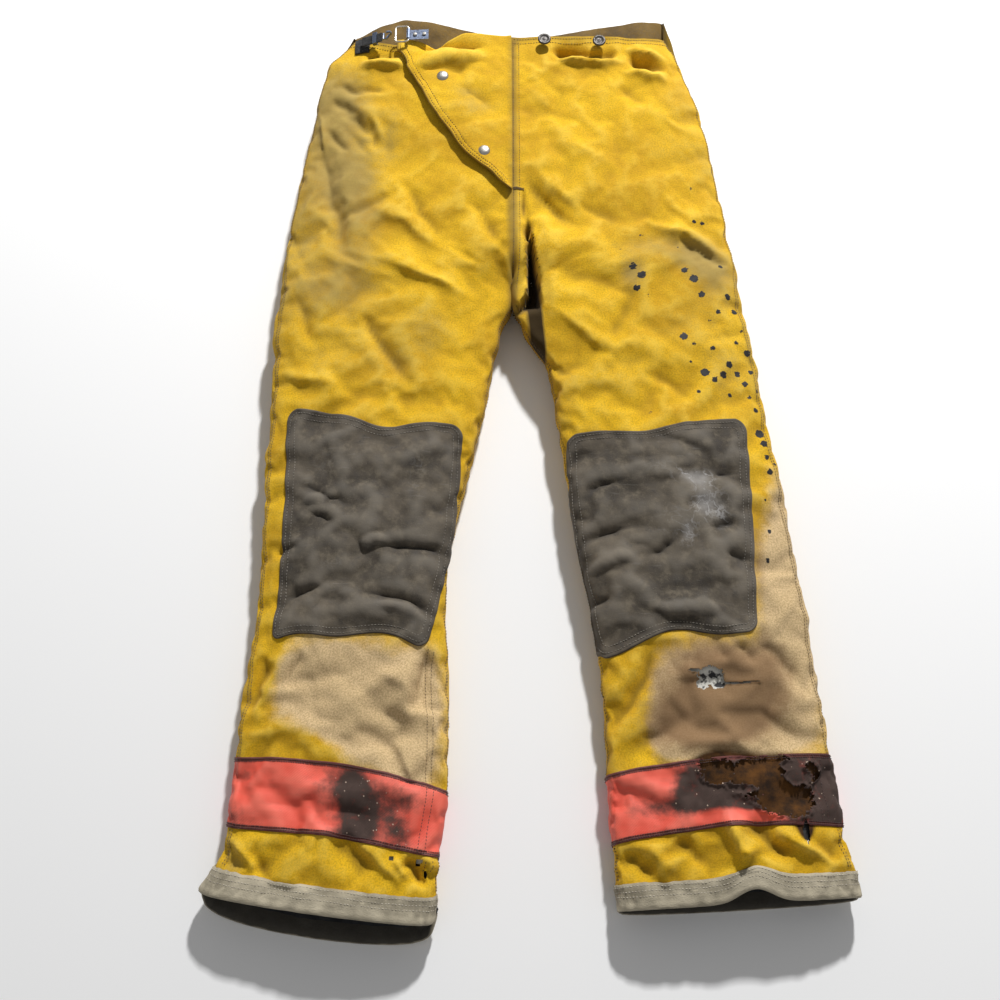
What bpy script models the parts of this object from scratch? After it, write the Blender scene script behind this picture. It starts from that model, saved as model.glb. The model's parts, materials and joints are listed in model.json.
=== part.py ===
"""Bunker pants lying on their back: shell, liner, knee patches, trim, fly and waist closure.

The garment lies with its waist towards +Y, its front up and the wearer's left side towards +X.
Outlines are given in garment coordinates: X from the centre-front seam, Y from the front edge of
the hems and Z from the back of the shell. The whole garment is then moved, so that the world origin
is under the middle of its bounding box.
"""

import math

import bmesh
import bpy
from mathutils import Matrix, Vector

# Driving dimensions, in metres.
CENTRE_SEAM_X = -0.0195
HEM_LINE_Y = -0.5426
SHELL_FLOOR_Z = 0.0016
CROTCH_Y = 0.690
CROTCH_REACH = 0.090
HIP_Y = 0.715
KNEE_Y = 0.400
SHIN_BOTTOM_Y = 0.002
WAIST_Y = 1.095
HIP_PIVOT_Z = 0.070
JOINT_GAP = 0.0010
# Seam gaps as shares of half a turn: the wall stands upright at an outseam and lies flat at the centre.
OUTSEAM_GAP = 0.00005
CENTRE_GAP = 0.0006

RIGHT, LEFT = -1, 1
SIDE_NAMES = {RIGHT: "right", LEFT: "left"}

# Outline of each half, from hem to waist: (Y, distance from the centre seam).
OUTER_EDGE = {
    RIGHT: [(-0.02, 0.322), (0.06, 0.306), (0.20, 0.296), (0.36, 0.286), (0.60, 0.286),
            (0.75, 0.281), (0.90, 0.260), (1.04, 0.230), (1.13, 0.204)],
    LEFT: [(-0.02, 0.360), (0.08, 0.349), (0.25, 0.333), (0.42, 0.314), (0.57, 0.295),
           (0.79, 0.269), (0.91, 0.255), (1.00, 0.237), (1.13, 0.200)],
}
INNER_EDGE = {
    RIGHT: [(-0.02, 0.086), (0.10, 0.074), (0.25, 0.073), (0.37, 0.068), (0.48, 0.050),
            (0.60, 0.026), (0.69, 0.006), (0.74, 0.0)],
    LEFT: [(-0.02, 0.122), (0.10, 0.101), (0.22, 0.099), (0.34, 0.083), (0.45, 0.064),
           (0.56, 0.048), (0.63, 0.034), (0.69, 0.008), (0.74, 0.0)],
}
THICKNESS = [(-0.02, 0.046), (0.15, 0.050), (0.30, 0.055), (0.45, 0.060), (0.60, 0.063),
             (0.72, 0.067), (0.80, 0.068), (1.13, 0.068)]
# The outseam's height, as a share of the thickness, and how squarely the section is filled out.
SIDE_SHARE = 0.42
ROUNDNESS = 0.55
BACK_FLATNESS = 1.12
# The hems and the trim slope across each leg, and the back is longer than the front at both ends.
HEM_SLOPE = {RIGHT: 0.135, LEFT: 0.055}
BACK_HEM_DROP = {RIGHT: 0.034, LEFT: 0.024}
BACK_WAIST_RISE = 0.036
BACK_WAIST_LIFT = 0.013

# Stations shared by every layer, so that layers on each other have the same facets.
ROWS = [-0.006, 0.020, 0.074, 0.147, 0.268, 0.400, 0.545, 0.650, 0.690, 0.715, 0.740, 0.780,
        0.850, 0.980, 1.046, 1.095]
TURN_STEPS = 8

# Layers as (outer, inner) depth inside the shell's outer face. Negative is outside the shell.
SHELL = (0.0, 0.0012)
FACING = (0.0016, 0.0026)
BARRIER = (0.0030, 0.0038)
THERMAL = (0.0042, 0.0066)
TRIM = (-0.0013, -0.0004)
KNEE_PAD = (-0.0024, -0.0004)
KNEE_PATCH = (-0.0054, -0.0040)
CUFF_OUTSIDE = (-0.0016, -0.0004)
CUFF_INSIDE = (0.0016, 0.0028)
ANCHOR = (-0.0026, -0.0008)

LINER_SEAT_Y = (0.742, 1.040)
LINER_THIGH_Y = (KNEE_Y + JOINT_GAP / 2, CROTCH_Y)
LINER_SHIN_Y = (0.040, KNEE_Y - JOINT_GAP / 2)
FACING_Y = (1.046, WAIST_Y)
TRIM_Y = (0.074, 0.147)
CUFF_Y = (-0.006, 0.020)
CUFF_FOLD_Y = 0.0

# Knee patch: turns of its side edges at (top, bottom), and the stations that its pad covers.
PATCH_Y = (0.268, 0.545)
PATCH_OUTER = {RIGHT: (0.205, 0.205), LEFT: (0.240, 0.350)}
PATCH_INNER = {RIGHT: (0.790, 0.800), LEFT: (0.870, 0.950)}
PATCH_COLUMNS = 13
PAD_STATIONS = {RIGHT: range(2, 7), LEFT: range(3, 7)}

# Fly flap, which lies over the wearer's right front and is hinged at the centre seam.
FLY_BOTTOM_Y = 0.850
FLAP_TOP_WIDTH = 0.150
FLAP_TAPER = 0.6
FLAP_LIFT = 0.0062
FLAP_CLOTH = 0.0024
FLAP_HEM_TURN = 0.004
FLAP_COLUMNS = 7
FLY_FACING_TURNS = (0.800, 0.997)
FLY_FACING_Y = (FLY_BOTTOM_Y, 1.040)

# Fasteners: (name, X, Y) of each, and turned profiles as (radius, height) from the top down.
FLY_SNAPS = [("upper", -0.090, 1.007), ("lower", -0.036, 0.892)]
FRONT_BUTTONS = [("front_inner", 0.042, 1.067), ("front_outer", 0.114, 1.067)]
REAR_BUTTONS = [("rear_right_outer", -0.135, 1.096), ("rear_right_inner", -0.065, 1.105),
                ("rear_left_inner", 0.065, 1.105), ("rear_left_outer", 0.135, 1.096)]
REAR_BUTTON_WALL_Y = 1.070
BUTTON_PROFILE = [(0.0, 0.0062), (0.0070, 0.0062), (0.0085, 0.0052), (0.0085, 0.0034), (0.0030, 0.0028),
                  (0.0030, 0.0), (0.0, 0.0)]
CAP_PROFILE = [(0.0, 0.0030), (0.0030, 0.0029), (0.0060, 0.0023), (0.0075, 0.0012), (0.0075, 0.0), (0.0, 0.0)]
SOCKET_PROFILE = [(0.0036, 0.0024), (0.0060, 0.0024), (0.0060, 0.0), (0.0036, 0.0), (0.0036, 0.0024)]
STUD_PROFILE = [(0.0, 0.0042), (0.0022, 0.0042), (0.0029, 0.0034), (0.0024, 0.0014), (0.0058, 0.0010),
                (0.0058, 0.0), (0.0, 0.0)]
RIVET_PROFILE = [(0.0, 0.0014), (0.0016, 0.0013), (0.0026, 0.0007), (0.0026, 0.0), (0.0, 0.0)]
ROUND_SIDES = 16
RESTING_GAP = 0.0004
SOCKET_DROP = 0.0034
CAP_RISE = 0.0006

# Waist closure: plate and ring on the flap, then hook, strap and keeper on the wearer's right side.
HOOK_LINE_Y = 1.073
PLATE_X = -0.1215
PLATE_LENGTH = 0.024
PLATE_WIDTH = 0.015
PLATE_THICKNESS = 0.0010
PLATE_RIVETS = [("outer", -0.0055), ("inner", 0.0065)]
KNUCKLE_X = 0.0140
KNUCKLE_RADIUS = 0.0027
KNUCKLE_SWEEP = 242
RING_LENGTH = 0.0170
RING_WIDTH = 0.0240
RING_CORNER = 0.0035
RING_WIRE = 0.0013
STRAP_ROOT = (-0.1980, HOOK_LINE_Y, 0.0590)
STRAP_TILT = math.radians(21.0)
STRAP_LENGTH = 0.0295
STRAP_WIDTH = 0.0140
STRAP_CLOTH = 0.0020
STRAP_ROUNDING = 0.0006
HOOK_WIRE = 0.0014
HOOK_LINE = [(0.0020, 0.0045, 0.0), (0.0020, -0.0045, 0.0), (0.0060, -0.0045, 0.0), (0.0100, 0.0, 0.0),
             (0.0125, 0.0, 0.0008), (0.0140, 0.0, 0.0030), (0.0132, 0.0, 0.0052), (0.0105, 0.0, 0.0060),
             (0.0085, 0.0, 0.0056)]
KEEPER_AT = 0.0190
KEEPER_LENGTH = 0.0060
KEEPER_WALL = 0.0010
KEEPER_PLAY = 0.0006
ANCHOR_X = (-0.2070, -0.1890)
ANCHOR_Y = (1.061, 1.085)
ANCHOR_COLUMNS = 7

# Looks: name, colour, roughness and metallic.
CANVAS = ("shell_canvas", (0.72, 0.47, 0.05), 0.95, 0.0)
SUEDE = ("knee_suede", (0.12, 0.10, 0.09), 0.9, 0.0)
TRIM_RED = ("trim_red", (0.80, 0.16, 0.10), 0.6, 0.0)
CUFF_GREY = ("cuff_suede", (0.30, 0.28, 0.25), 0.95, 0.0)
MEMBRANE = ("moisture_membrane", (0.78, 0.76, 0.68), 0.6, 0.0)
QUILT = ("thermal_quilt", (0.06, 0.06, 0.065), 0.95, 0.0)
WAIST_CLOTH = ("waist_cloth", (0.22, 0.13, 0.04), 0.95, 0.0)
WEBBING = ("black_webbing", (0.03, 0.03, 0.03), 0.8, 0.0)
FOAM = ("pad_foam", (0.55, 0.52, 0.42), 0.95, 0.0)
NICKEL = ("nickel", (0.62, 0.60, 0.56), 0.3, 1.0)
BLUED = ("blued_steel", (0.16, 0.19, 0.26), 0.35, 1.0)


def clear_scene():
    for obj in list(bpy.data.objects):
        bpy.data.objects.remove(obj)


def smooth(t):
    t = min(1.0, max(0.0, t))
    return t * t * (3 - 2 * t)


def through(stations, y):
    """Value at y of a softened line through (y, value) stations."""
    if y <= stations[0][0]:
        return stations[0][1]
    for (y0, v0), (y1, v1) in zip(stations, stations[1:]):
        if y <= y1:
            t = (y - y0) / (y1 - y0)
            return v0 + (v1 - v0) * (0.65 * t + 0.35 * smooth(t))
    return stations[-1][1]


def sweep_angle(y):
    """Sweep of the half section: half a turn round a leg, and a quarter above the crotch."""
    return math.pi - math.pi / 2 * smooth((y - CROTCH_Y) / CROTCH_REACH)


def wall_curve(side, y, turn, inset):
    """Point on one half of the garment, in garment coordinates. turn runs from 0 to 1 over the front,
    from the outseam to the inseam or centre seam, and from 1 to 2 back again under the back. inset is
    the depth inside the shell."""
    outer, inner = through(OUTER_EDGE[side], y), through(INNER_EDGE[side], y)
    is_back = turn > 1
    widest = sweep_angle(y)
    angle = (2 - turn if is_back else turn) * widest
    radius = (outer - inner) / (1 - math.cos(widest))
    across = outer - radius + (radius - inset) * math.cos(angle)
    thick = through(THICKNESS, y)
    seam_height = SIDE_SHARE * thick
    rise = max(0.0, math.sin(angle)) ** ROUNDNESS
    if is_back:
        floor = BACK_WAIST_LIFT * smooth((y - 1.02) / 0.08)
        z = seam_height - (seam_height - floor - inset) * min(1.0, BACK_FLATNESS * rise)
        y += BACK_WAIST_RISE * smooth((y - 0.98) / 0.12) * rise
        y -= BACK_HEM_DROP[side] * smooth((0.16 - y) / 0.16) * rise
    else:
        z = seam_height + (thick - seam_height - inset) * rise
    y += HEM_SLOPE[side] * smooth((0.42 - y) / 0.42) * (across - (outer + inner) / 2)
    return Vector((side * across, y, z))


def wall(side, y, turn, inset=0.0):
    """The wall drawn straight between its stations."""
    row = next((i for i, high in enumerate(ROWS[1:]) if y <= high), len(ROWS) - 2)
    low_y, high_y = ROWS[row], ROWS[row + 1]
    column = max(0, math.ceil(turn * TURN_STEPS - 1e-9) - 1)
    low_turn, high_turn = column / TURN_STEPS, (column + 1) / TURN_STEPS
    if low_turn >= 1:
        low_turn += 1e-9
    low, high = (
        wall_curve(side, v, low_turn, inset).lerp(wall_curve(side, v, high_turn, inset), turn * TURN_STEPS - column)
        for v in (low_y, high_y)
    )
    return low.lerp(high, (y - low_y) / (high_y - low_y))


def turn_at(side, x, y):
    """Turn at which the front lies at that distance x from the centre seam."""
    outer, inner = through(OUTER_EDGE[side], y), through(INNER_EDGE[side], y)
    widest = sweep_angle(y)
    radius = (outer - inner) / (1 - math.cos(widest))
    cosine = (abs(x) - outer + radius) / radius
    return math.acos(max(-1.0, min(1.0, cosine))) / widest


def on_front(x, y):
    """Height of the front at that place."""
    side = LEFT if x > 0 else RIGHT
    return wall(side, y, turn_at(side, x, y)).z


def between(start, stop, count):
    return [start + (stop - start) * i / (count - 1) for i in range(count)]


def layer_profile(layer, low, high):
    """Closed outline, as (inset, y), of a layer from low to high."""
    outside, inside = layer
    ys = [low] + [y for y in ROWS if low + 1e-6 < y < high - 1e-6] + [high]
    return [(outside, y) for y in ys] + [(inside, y) for y in reversed(ys)]


def loft(name, rings, closed):
    """Mesh through equal loops of points. An open loft gets its two ends filled."""
    bm = bmesh.new()
    loops = [[bm.verts.new(point) for point in ring] for ring in rings]
    count = len(loops[0])
    for first, second in zip(loops, loops[1:] + loops[:1] if closed else loops[1:]):
        for i in range(count):
            j = (i + 1) % count
            # Each facet is cut the same way in every layer, so that stacked layers stay apart.
            if first[i].co.y <= first[j].co.y:
                bm.faces.new((first[i], first[j], second[j]))
                bm.faces.new((first[i], second[j], second[i]))
            else:
                bm.faces.new((first[i], first[j], second[i]))
                bm.faces.new((first[j], second[j], second[i]))
    if not closed:
        for loop in (loops[0], loops[-1]):
            for i in range(count // 2 - 1):
                bm.faces.new((loop[i], loop[i + 1], loop[count - 2 - i], loop[count - 1 - i]))
    bmesh.ops.recalc_face_normals(bm, faces=bm.faces)
    mesh = bpy.data.meshes.new(name)
    bm.to_mesh(mesh)
    bm.free()
    return mesh


def material(look):
    name, colour, roughness, metallic = look
    made = bpy.data.materials.get(name)
    if made is None:
        made = bpy.data.materials.new(name)
        made.use_nodes = True
        shader = made.node_tree.nodes["Principled BSDF"]
        shader.inputs["Base Color"].default_value = (*colour, 1)
        shader.inputs["Roughness"].default_value = roughness
        shader.inputs["Metallic"].default_value = metallic
    return made


def world_place(empty):
    """World location of an empty, whose parents are all empties too."""
    place = Vector(empty.location)
    while empty.parent is not None:
        empty = empty.parent
        place += empty.location
    return place


def joint_empty(name, place, parent=None):
    """Empty at a place in garment coordinates, on the axis of the pieces that hang on it."""
    empty = bpy.data.objects.new(name, None)
    garment.objects.link(empty)
    empty.location = GARMENT_ORIGIN + Vector(place) - (world_place(parent) if parent else Vector())
    empty.parent = parent
    return empty


def add_part(name, mesh, look, parent, place=None):
    """Node from a mesh drawn at a local frame, place, of garment coordinates."""
    obj = bpy.data.objects.new(name, mesh)
    garment.objects.link(obj)
    mesh.materials.append(material(look))
    mesh.shade_smooth()
    mesh.set_sharp_from_angle(angle=math.radians(40))
    obj.parent = parent
    obj.matrix_local = Matrix.Translation(GARMENT_ORIGIN - world_place(parent)) @ (place or Matrix())
    return obj


def panel(name, side, layer, ys, columns, look, parent):
    """Sheet that follows the wall. columns are turns, each a number or a function of y."""
    profile = layer_profile(layer, *ys)
    rings = [
        [wall(side, y, turn(y) if callable(turn) else turn, inset) for inset, y in profile] for turn in columns
    ]
    return add_part(name, loft(name, rings, closed=False), look, parent)


def leg_ring(name, side, profile, look, parent):
    """Closed band round one leg."""
    turns = [i / TURN_STEPS for i in range(2 * TURN_STEPS)]
    rings = [[wall(side, y, turn, inset) for inset, y in profile] for turn in turns]
    return add_part(name, loft(name, rings, closed=True), look, parent)


def seat_ring(name, layer, ys, look):
    """Closed band round the seat, over the front from right to left and back under it."""
    profile = layer_profile(layer, *ys)
    steps = [i / TURN_STEPS for i in range(TURN_STEPS)]
    path = [(RIGHT, turn) for turn in steps] + [(LEFT, 1 - turn) for turn in steps]
    path += [(LEFT, 2 - turn) for turn in steps] + [(RIGHT, 1 + turn + 1e-7) for turn in steps]
    rings = [[wall(side, y, turn, inset) for inset, y in profile] for side, turn in path]
    return add_part(name, loft(name, rings, closed=True), look, seat)


def turned(name, profile, look, parent, place):
    """Round piece: its profile, which runs down the outside, turned about Z with a Screw modifier."""
    mesh = bpy.data.meshes.new(name)
    edges = [(i, i + 1) for i in range(len(profile) - 1)]
    mesh.from_pydata([(radius, 0, height) for radius, height in profile], edges, [])
    obj = add_part(name, mesh, look, parent, place)
    screw = obj.modifiers.new("turn", "SCREW")
    screw.steps = screw.render_steps = ROUND_SIDES
    screw.use_merge_vertices = True
    screw.merge_threshold = 0.00002
    screw.use_smooth_shade = True
    weld = obj.modifiers.new("close", "WELD")
    weld.merge_threshold = 0.00002
    return obj


def mesh_of(curve):
    """Welded mesh of a curve."""
    drawn = bpy.data.objects.new(curve.name, curve)
    garment.objects.link(drawn)
    mesh = bpy.data.meshes.new_from_object(drawn.evaluated_get(bpy.context.evaluated_depsgraph_get()))
    bpy.data.objects.remove(drawn)
    bm = bmesh.new()
    bm.from_mesh(mesh)
    bmesh.ops.remove_doubles(bm, verts=bm.verts, dist=0.00001)
    bmesh.ops.recalc_face_normals(bm, faces=bm.faces)
    bm.to_mesh(mesh)
    bm.free()
    return mesh


def add_line(curve, points, closed):
    line = curve.splines.new("POLY")
    line.points.add(len(points) - 1)
    for point, place in zip(line.points, points):
        point.co = (*place, 1) if len(place) == 3 else (*place, 0, 1)
    line.use_cyclic_u = closed


def wire_mesh(name, points, radius, closed=False):
    """Round wire along a line."""
    curve = bpy.data.curves.new(name, "CURVE")
    curve.dimensions = "3D"
    curve.bevel_depth = radius
    curve.bevel_resolution = 2
    curve.use_fill_caps = not closed
    add_line(curve, points, closed)
    return mesh_of(curve)


def flat_mesh(name, outlines, thickness):
    """Flat piece in XY, from its outline and the outlines of its holes, half above Z and half below."""
    curve = bpy.data.curves.new(name, "CURVE")
    curve.dimensions = "2D"
    curve.fill_mode = "BOTH"
    curve.extrude = thickness / 2
    for outline in outlines:
        add_line(curve, outline, closed=True)
    return mesh_of(curve)


def rounded_box(width, height, radius, steps=4):
    """Outline of a rectangle with round corners, centred on the origin."""
    outline = []
    for sx, sy, start in ((1, 1, 0), (-1, 1, 90), (-1, -1, 180), (1, -1, 270)):
        for i in range(steps + 1):
            a = math.radians(start + 90 * i / steps)
            x, y = sx * (width / 2 - radius), sy * (height / 2 - radius)
            outline.append((x + radius * math.cos(a), y + radius * math.sin(a)))
    return outline


def rectangle(width, height):
    return [(width / 2, height / 2), (-width / 2, height / 2), (-width / 2, -height / 2), (width / 2, -height / 2)]


def strip_outline(line, half):
    """Closed outline of a strip of that half width along an open line."""
    left, right = [], []
    for i, (x, y) in enumerate(line):
        before, after = line[max(0, i - 1)], line[min(len(line) - 1, i + 1)]
        direction = Vector((after[0] - before[0], after[1] - before[1])).normalized()
        left.append((x - direction.y * half, y + direction.x * half))
        right.append((x + direction.y * half, y - direction.x * half))
    return left + right[::-1]


def inner_gap(y):
    """Share of half a turn left open at the inseam, or at the centre seam above the crotch."""
    return OUTSEAM_GAP + (CENTRE_GAP - OUTSEAM_GAP) * smooth((y - CROTCH_Y) / 0.06)


def shell_panels(area, ys, parents):
    """Front and back canvas of one stretch of the garment, a pair for each side."""
    inner = range(1, TURN_STEPS)
    front = [OUTSEAM_GAP] + [i / TURN_STEPS for i in inner] + [lambda y: 1 - inner_gap(y)]
    back = [lambda y: 1 + inner_gap(y)] + [1 + i / TURN_STEPS for i in inner] + [2 - OUTSEAM_GAP]
    for side in (RIGHT, LEFT):
        for face, turns in (("front", front), ("back", back)):
            # Facets are cut the same way as those of seat_ring, which runs on round both halves.
            runs_back = area == "seat" and side == LEFT
            columns = turns[::-1] if runs_back else turns
            panel(f"{area}_{face}_{SIDE_NAMES[side]}", side, SHELL, ys, columns, CANVAS, parents[side])


def build_shell():
    shell_panels("seat", (HIP_Y + JOINT_GAP / 2, WAIST_Y), {RIGHT: seat, LEFT: seat})
    shell_panels("thigh", (KNEE_Y + JOINT_GAP / 2, HIP_Y - JOINT_GAP / 2), thighs)
    shell_panels("shin", (SHIN_BOTTOM_Y, KNEE_Y - JOINT_GAP / 2), shins)


def build_liner():
    for name, layer, look in (("moisture_barrier", BARRIER, MEMBRANE), ("thermal_liner", THERMAL, QUILT)):
        seat_ring(f"{name}_seat", layer, LINER_SEAT_Y, look)
        for side, word in SIDE_NAMES.items():
            leg_ring(f"{name}_thigh_{word}", side, layer_profile(layer, *LINER_THIGH_Y), look, thighs[side])
            leg_ring(f"{name}_shin_{word}", side, layer_profile(layer, *LINER_SHIN_Y), look, shins[side])


def build_leg_ends():
    """Reflective trim bands, and cuffs that fold round the hems."""
    hem_y, top_y = CUFF_Y
    cuff = [(CUFF_OUTSIDE[0], hem_y), (CUFF_OUTSIDE[0], top_y), (CUFF_OUTSIDE[1], top_y),
            (CUFF_OUTSIDE[1], CUFF_FOLD_Y), (CUFF_INSIDE[0], CUFF_FOLD_Y), (CUFF_INSIDE[0], top_y),
            (CUFF_INSIDE[1], top_y), (CUFF_INSIDE[1], hem_y)]
    for side, word in SIDE_NAMES.items():
        leg_ring(f"trim_band_{word}", side, layer_profile(TRIM, *TRIM_Y), TRIM_RED, shins[side])
        leg_ring(f"hem_cuff_{word}", side, cuff, CUFF_GREY, shins[side])


def build_knees():
    """A suede patch over a pad on each knee. The patch's side edges slant round the leg."""
    low_y, high_y = PATCH_Y

    def patch_turn(side, share):
        top, bottom = (PATCH_OUTER[side][i] * (1 - share) + PATCH_INNER[side][i] * share for i in (0, 1))
        return lambda y: bottom + (top - bottom) * (y - low_y) / (high_y - low_y)

    for side, word in SIDE_NAMES.items():
        columns = [patch_turn(side, share) for share in between(0.0, 1.0, PATCH_COLUMNS)]
        panel(f"knee_patch_{word}", side, KNEE_PATCH, PATCH_Y, columns, SUEDE, thighs[side])
        pad_turns = [i / TURN_STEPS for i in PAD_STATIONS[side]]
        panel(f"knee_pad_{word}", side, KNEE_PAD, PATCH_Y, pad_turns, FOAM, thighs[side])


def build_waist():
    """Facing inside the waist, and the suspender buttons outside it."""
    seat_ring("waist_facing", FACING, FACING_Y, WAIST_CLOTH)
    for name, x, y in FRONT_BUTTONS:
        place = Matrix.Translation((x, y, on_front(x, y) + RESTING_GAP))
        turned(f"suspender_button_{name}", BUTTON_PROFILE, NICKEL, seat, place)
    for name, x, y in REAR_BUTTONS:
        side = LEFT if x > 0 else RIGHT
        underside = wall(side, REAR_BUTTON_WALL_Y, 2 - turn_at(side, x, REAR_BUTTON_WALL_Y)).z
        place = Matrix.Translation((x, y, underside - 3 * RESTING_GAP)) @ Matrix.Rotation(math.pi, 4, "X")
        turned(f"suspender_button_{name}", BUTTON_PROFILE, NICKEL, seat, place)


def flap_edge_turn(y):
    """Turn of the flap's free edge, which slants down to the fly's bottom."""
    share = max(0.0, (y - FLY_BOTTOM_Y + 0.004) / (WAIST_Y - FLY_BOTTOM_Y))
    return turn_at(RIGHT, FLAP_TOP_WIDTH * share ** FLAP_TAPER, y)


def build_fly():
    """Facing behind the fly, the flap over it, and the snaps that close it."""
    low, high = FLY_FACING_TURNS
    inner = [i / TURN_STEPS for i in range(TURN_STEPS) if low < i / TURN_STEPS < high]
    panel("fly_facing", RIGHT, FACING, FLY_FACING_Y, [low, *inner, high], CANVAS, seat)

    def flap_turn(share):
        return lambda y: (1 - FLAP_HEM_TURN) * (1 - share) + flap_edge_turn(y) * share

    columns = [flap_turn(share) for share in between(1.0, 0.0, FLAP_COLUMNS)]
    panel("fly_flap", RIGHT, (-FLAP_LIFT - FLAP_CLOTH, -FLAP_LIFT), (FLY_BOTTOM_Y, WAIST_Y), columns, CANVAS, fly)
    for name, x, y in FLY_SNAPS:
        front = on_front(x, y)
        pieces = [("cap", CAP_PROFILE, front + FLAP_LIFT + FLAP_CLOTH + CAP_RISE, fly),
                  ("socket", SOCKET_PROFILE, front + FLAP_LIFT - SOCKET_DROP, fly),
                  ("stud", STUD_PROFILE, front + CAP_RISE, seat)]
        for piece, profile, z, parent in pieces:
            turned(f"fly_snap_{piece}_{name}", profile, NICKEL, parent, Matrix.Translation((x, y, z)))


def plate_frame():
    """Frame that lies on the flap, with X along its surface, and carries the plate and ring."""
    reach = PLATE_LENGTH / 2
    rise = on_front(PLATE_X + reach, HOOK_LINE_Y) - on_front(PLATE_X - reach, HOOK_LINE_Y)
    top = on_front(PLATE_X, HOOK_LINE_Y) + FLAP_LIFT + FLAP_CLOTH + RESTING_GAP
    turn = Matrix.Rotation(-math.atan2(rise, PLATE_LENGTH), 4, "Y")
    return Matrix.Translation((PLATE_X, HOOK_LINE_Y, top)) @ turn


def ring_axis():
    return plate_frame() @ Vector((-KNUCKLE_X, 0, KNUCKLE_RADIUS))


def build_ring():
    """Riveted plate whose outer end curls round the bar of a rectangular ring."""
    curl = KNUCKLE_RADIUS - PLATE_THICKNESS / 2
    line = [(PLATE_LENGTH / 2, PLATE_THICKNESS / 2)]
    for degrees in between(0, KNUCKLE_SWEEP, 12):
        a = math.radians(-90 - degrees)
        line.append((curl * math.cos(a) - KNUCKLE_X, curl * math.sin(a) + KNUCKLE_RADIUS))
    plate = flat_mesh("ring_plate", [strip_outline(line, PLATE_THICKNESS / 2)], PLATE_WIDTH)
    plate.transform(Matrix.Rotation(math.pi / 2, 4, "X"))
    add_part("ring_plate", plate, BLUED, fly, plate_frame())
    for name, x in PLATE_RIVETS:
        place = plate_frame() @ Matrix.Translation((x, 0, PLATE_THICKNESS + RESTING_GAP))
        turned(f"plate_rivet_{name}", RIVET_PROFILE, NICKEL, fly, place)
    loop = [(x - RING_LENGTH / 2 - KNUCKLE_X, y, KNUCKLE_RADIUS)
            for x, y in rounded_box(RING_LENGTH, RING_WIDTH, RING_CORNER)]
    wire = wire_mesh("dee_ring", loop, RING_WIRE, closed=True)
    wire.transform(plate_frame())
    add_part("dee_ring", wire, NICKEL, ring)


def build_strap():
    """Strap sewn at its outer end, with a hook at the other and a keeper that slides on it."""
    along = Matrix.Translation(STRAP_ROOT) @ Matrix.Rotation(-STRAP_TILT, 4, "Y")
    band = bmesh.new()
    bmesh.ops.create_cube(band, size=1.0)
    bmesh.ops.scale(band, vec=(STRAP_LENGTH, STRAP_WIDTH, STRAP_CLOTH), verts=band.verts)
    mesh = bpy.data.meshes.new("waist_strap")
    band.to_mesh(mesh)
    band.free()
    middle = along @ Matrix.Translation((STRAP_LENGTH / 2, 0, 0))
    bevel = add_part("waist_strap", mesh, WEBBING, strap, middle).modifiers.new("edge", "BEVEL")
    bevel.width = STRAP_ROUNDING
    hook = wire_mesh("strap_hook", [(x + STRAP_LENGTH, y, z) for x, y, z in HOOK_LINE], HOOK_WIRE)
    add_part("strap_hook", hook, BLUED, strap, along)
    width, height = STRAP_WIDTH + 2 * KEEPER_PLAY, STRAP_CLOTH + 2 * KEEPER_PLAY
    outlines = [rectangle(width + 2 * KEEPER_WALL, height + 2 * KEEPER_WALL), rectangle(width, height)]
    sleeve = flat_mesh("strap_keeper", outlines, KEEPER_LENGTH)
    upright = Matrix.Rotation(math.pi / 2, 4, "Z") @ Matrix.Rotation(math.pi / 2, 4, "X")
    add_part("strap_keeper", sleeve, BLUED, keeper, along @ Matrix.Translation((KEEPER_AT, 0, 0)) @ upright)

    def anchor_turn(x):
        return lambda y: turn_at(RIGHT, x, y)

    columns = [anchor_turn(x) for x in between(*ANCHOR_X, ANCHOR_COLUMNS)]
    panel("strap_anchor", RIGHT, ANCHOR, ANCHOR_Y, columns, WEBBING, seat)


clear_scene()
garment = bpy.data.collections.new("bunker_pants")
bpy.context.scene.collection.children.link(garment)
GARMENT_ORIGIN = Vector((CENTRE_SEAM_X, HEM_LINE_Y, SHELL_FLOOR_Z))

seat = joint_empty("seat", (0, 0, 0))
thighs = {side: joint_empty(f"hip_{word}", (0, HIP_Y, HIP_PIVOT_Z), seat) for side, word in SIDE_NAMES.items()}
shins = {
    side: joint_empty(f"knee_{word}", (0, KNEE_Y, -SHELL_FLOOR_Z), thighs[side]) for side, word in SIDE_NAMES.items()
}
fly = joint_empty("fly", (0, FLY_BOTTOM_Y, THICKNESS[-1][1] + FLAP_LIFT + FLAP_CLOTH / 2), seat)
ring = joint_empty("ring", ring_axis(), fly)
strap = joint_empty("strap", STRAP_ROOT, seat)
keeper_reach = Matrix.Rotation(-STRAP_TILT, 3, "Y") @ Vector((KEEPER_AT, 0, 0))
keeper = joint_empty("keeper", Vector(STRAP_ROOT) + keeper_reach, strap)

build_shell()
build_liner()
build_leg_ends()
build_knees()
build_waist()
build_fly()
build_ring()
build_strap()
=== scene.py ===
import json
import math

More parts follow.
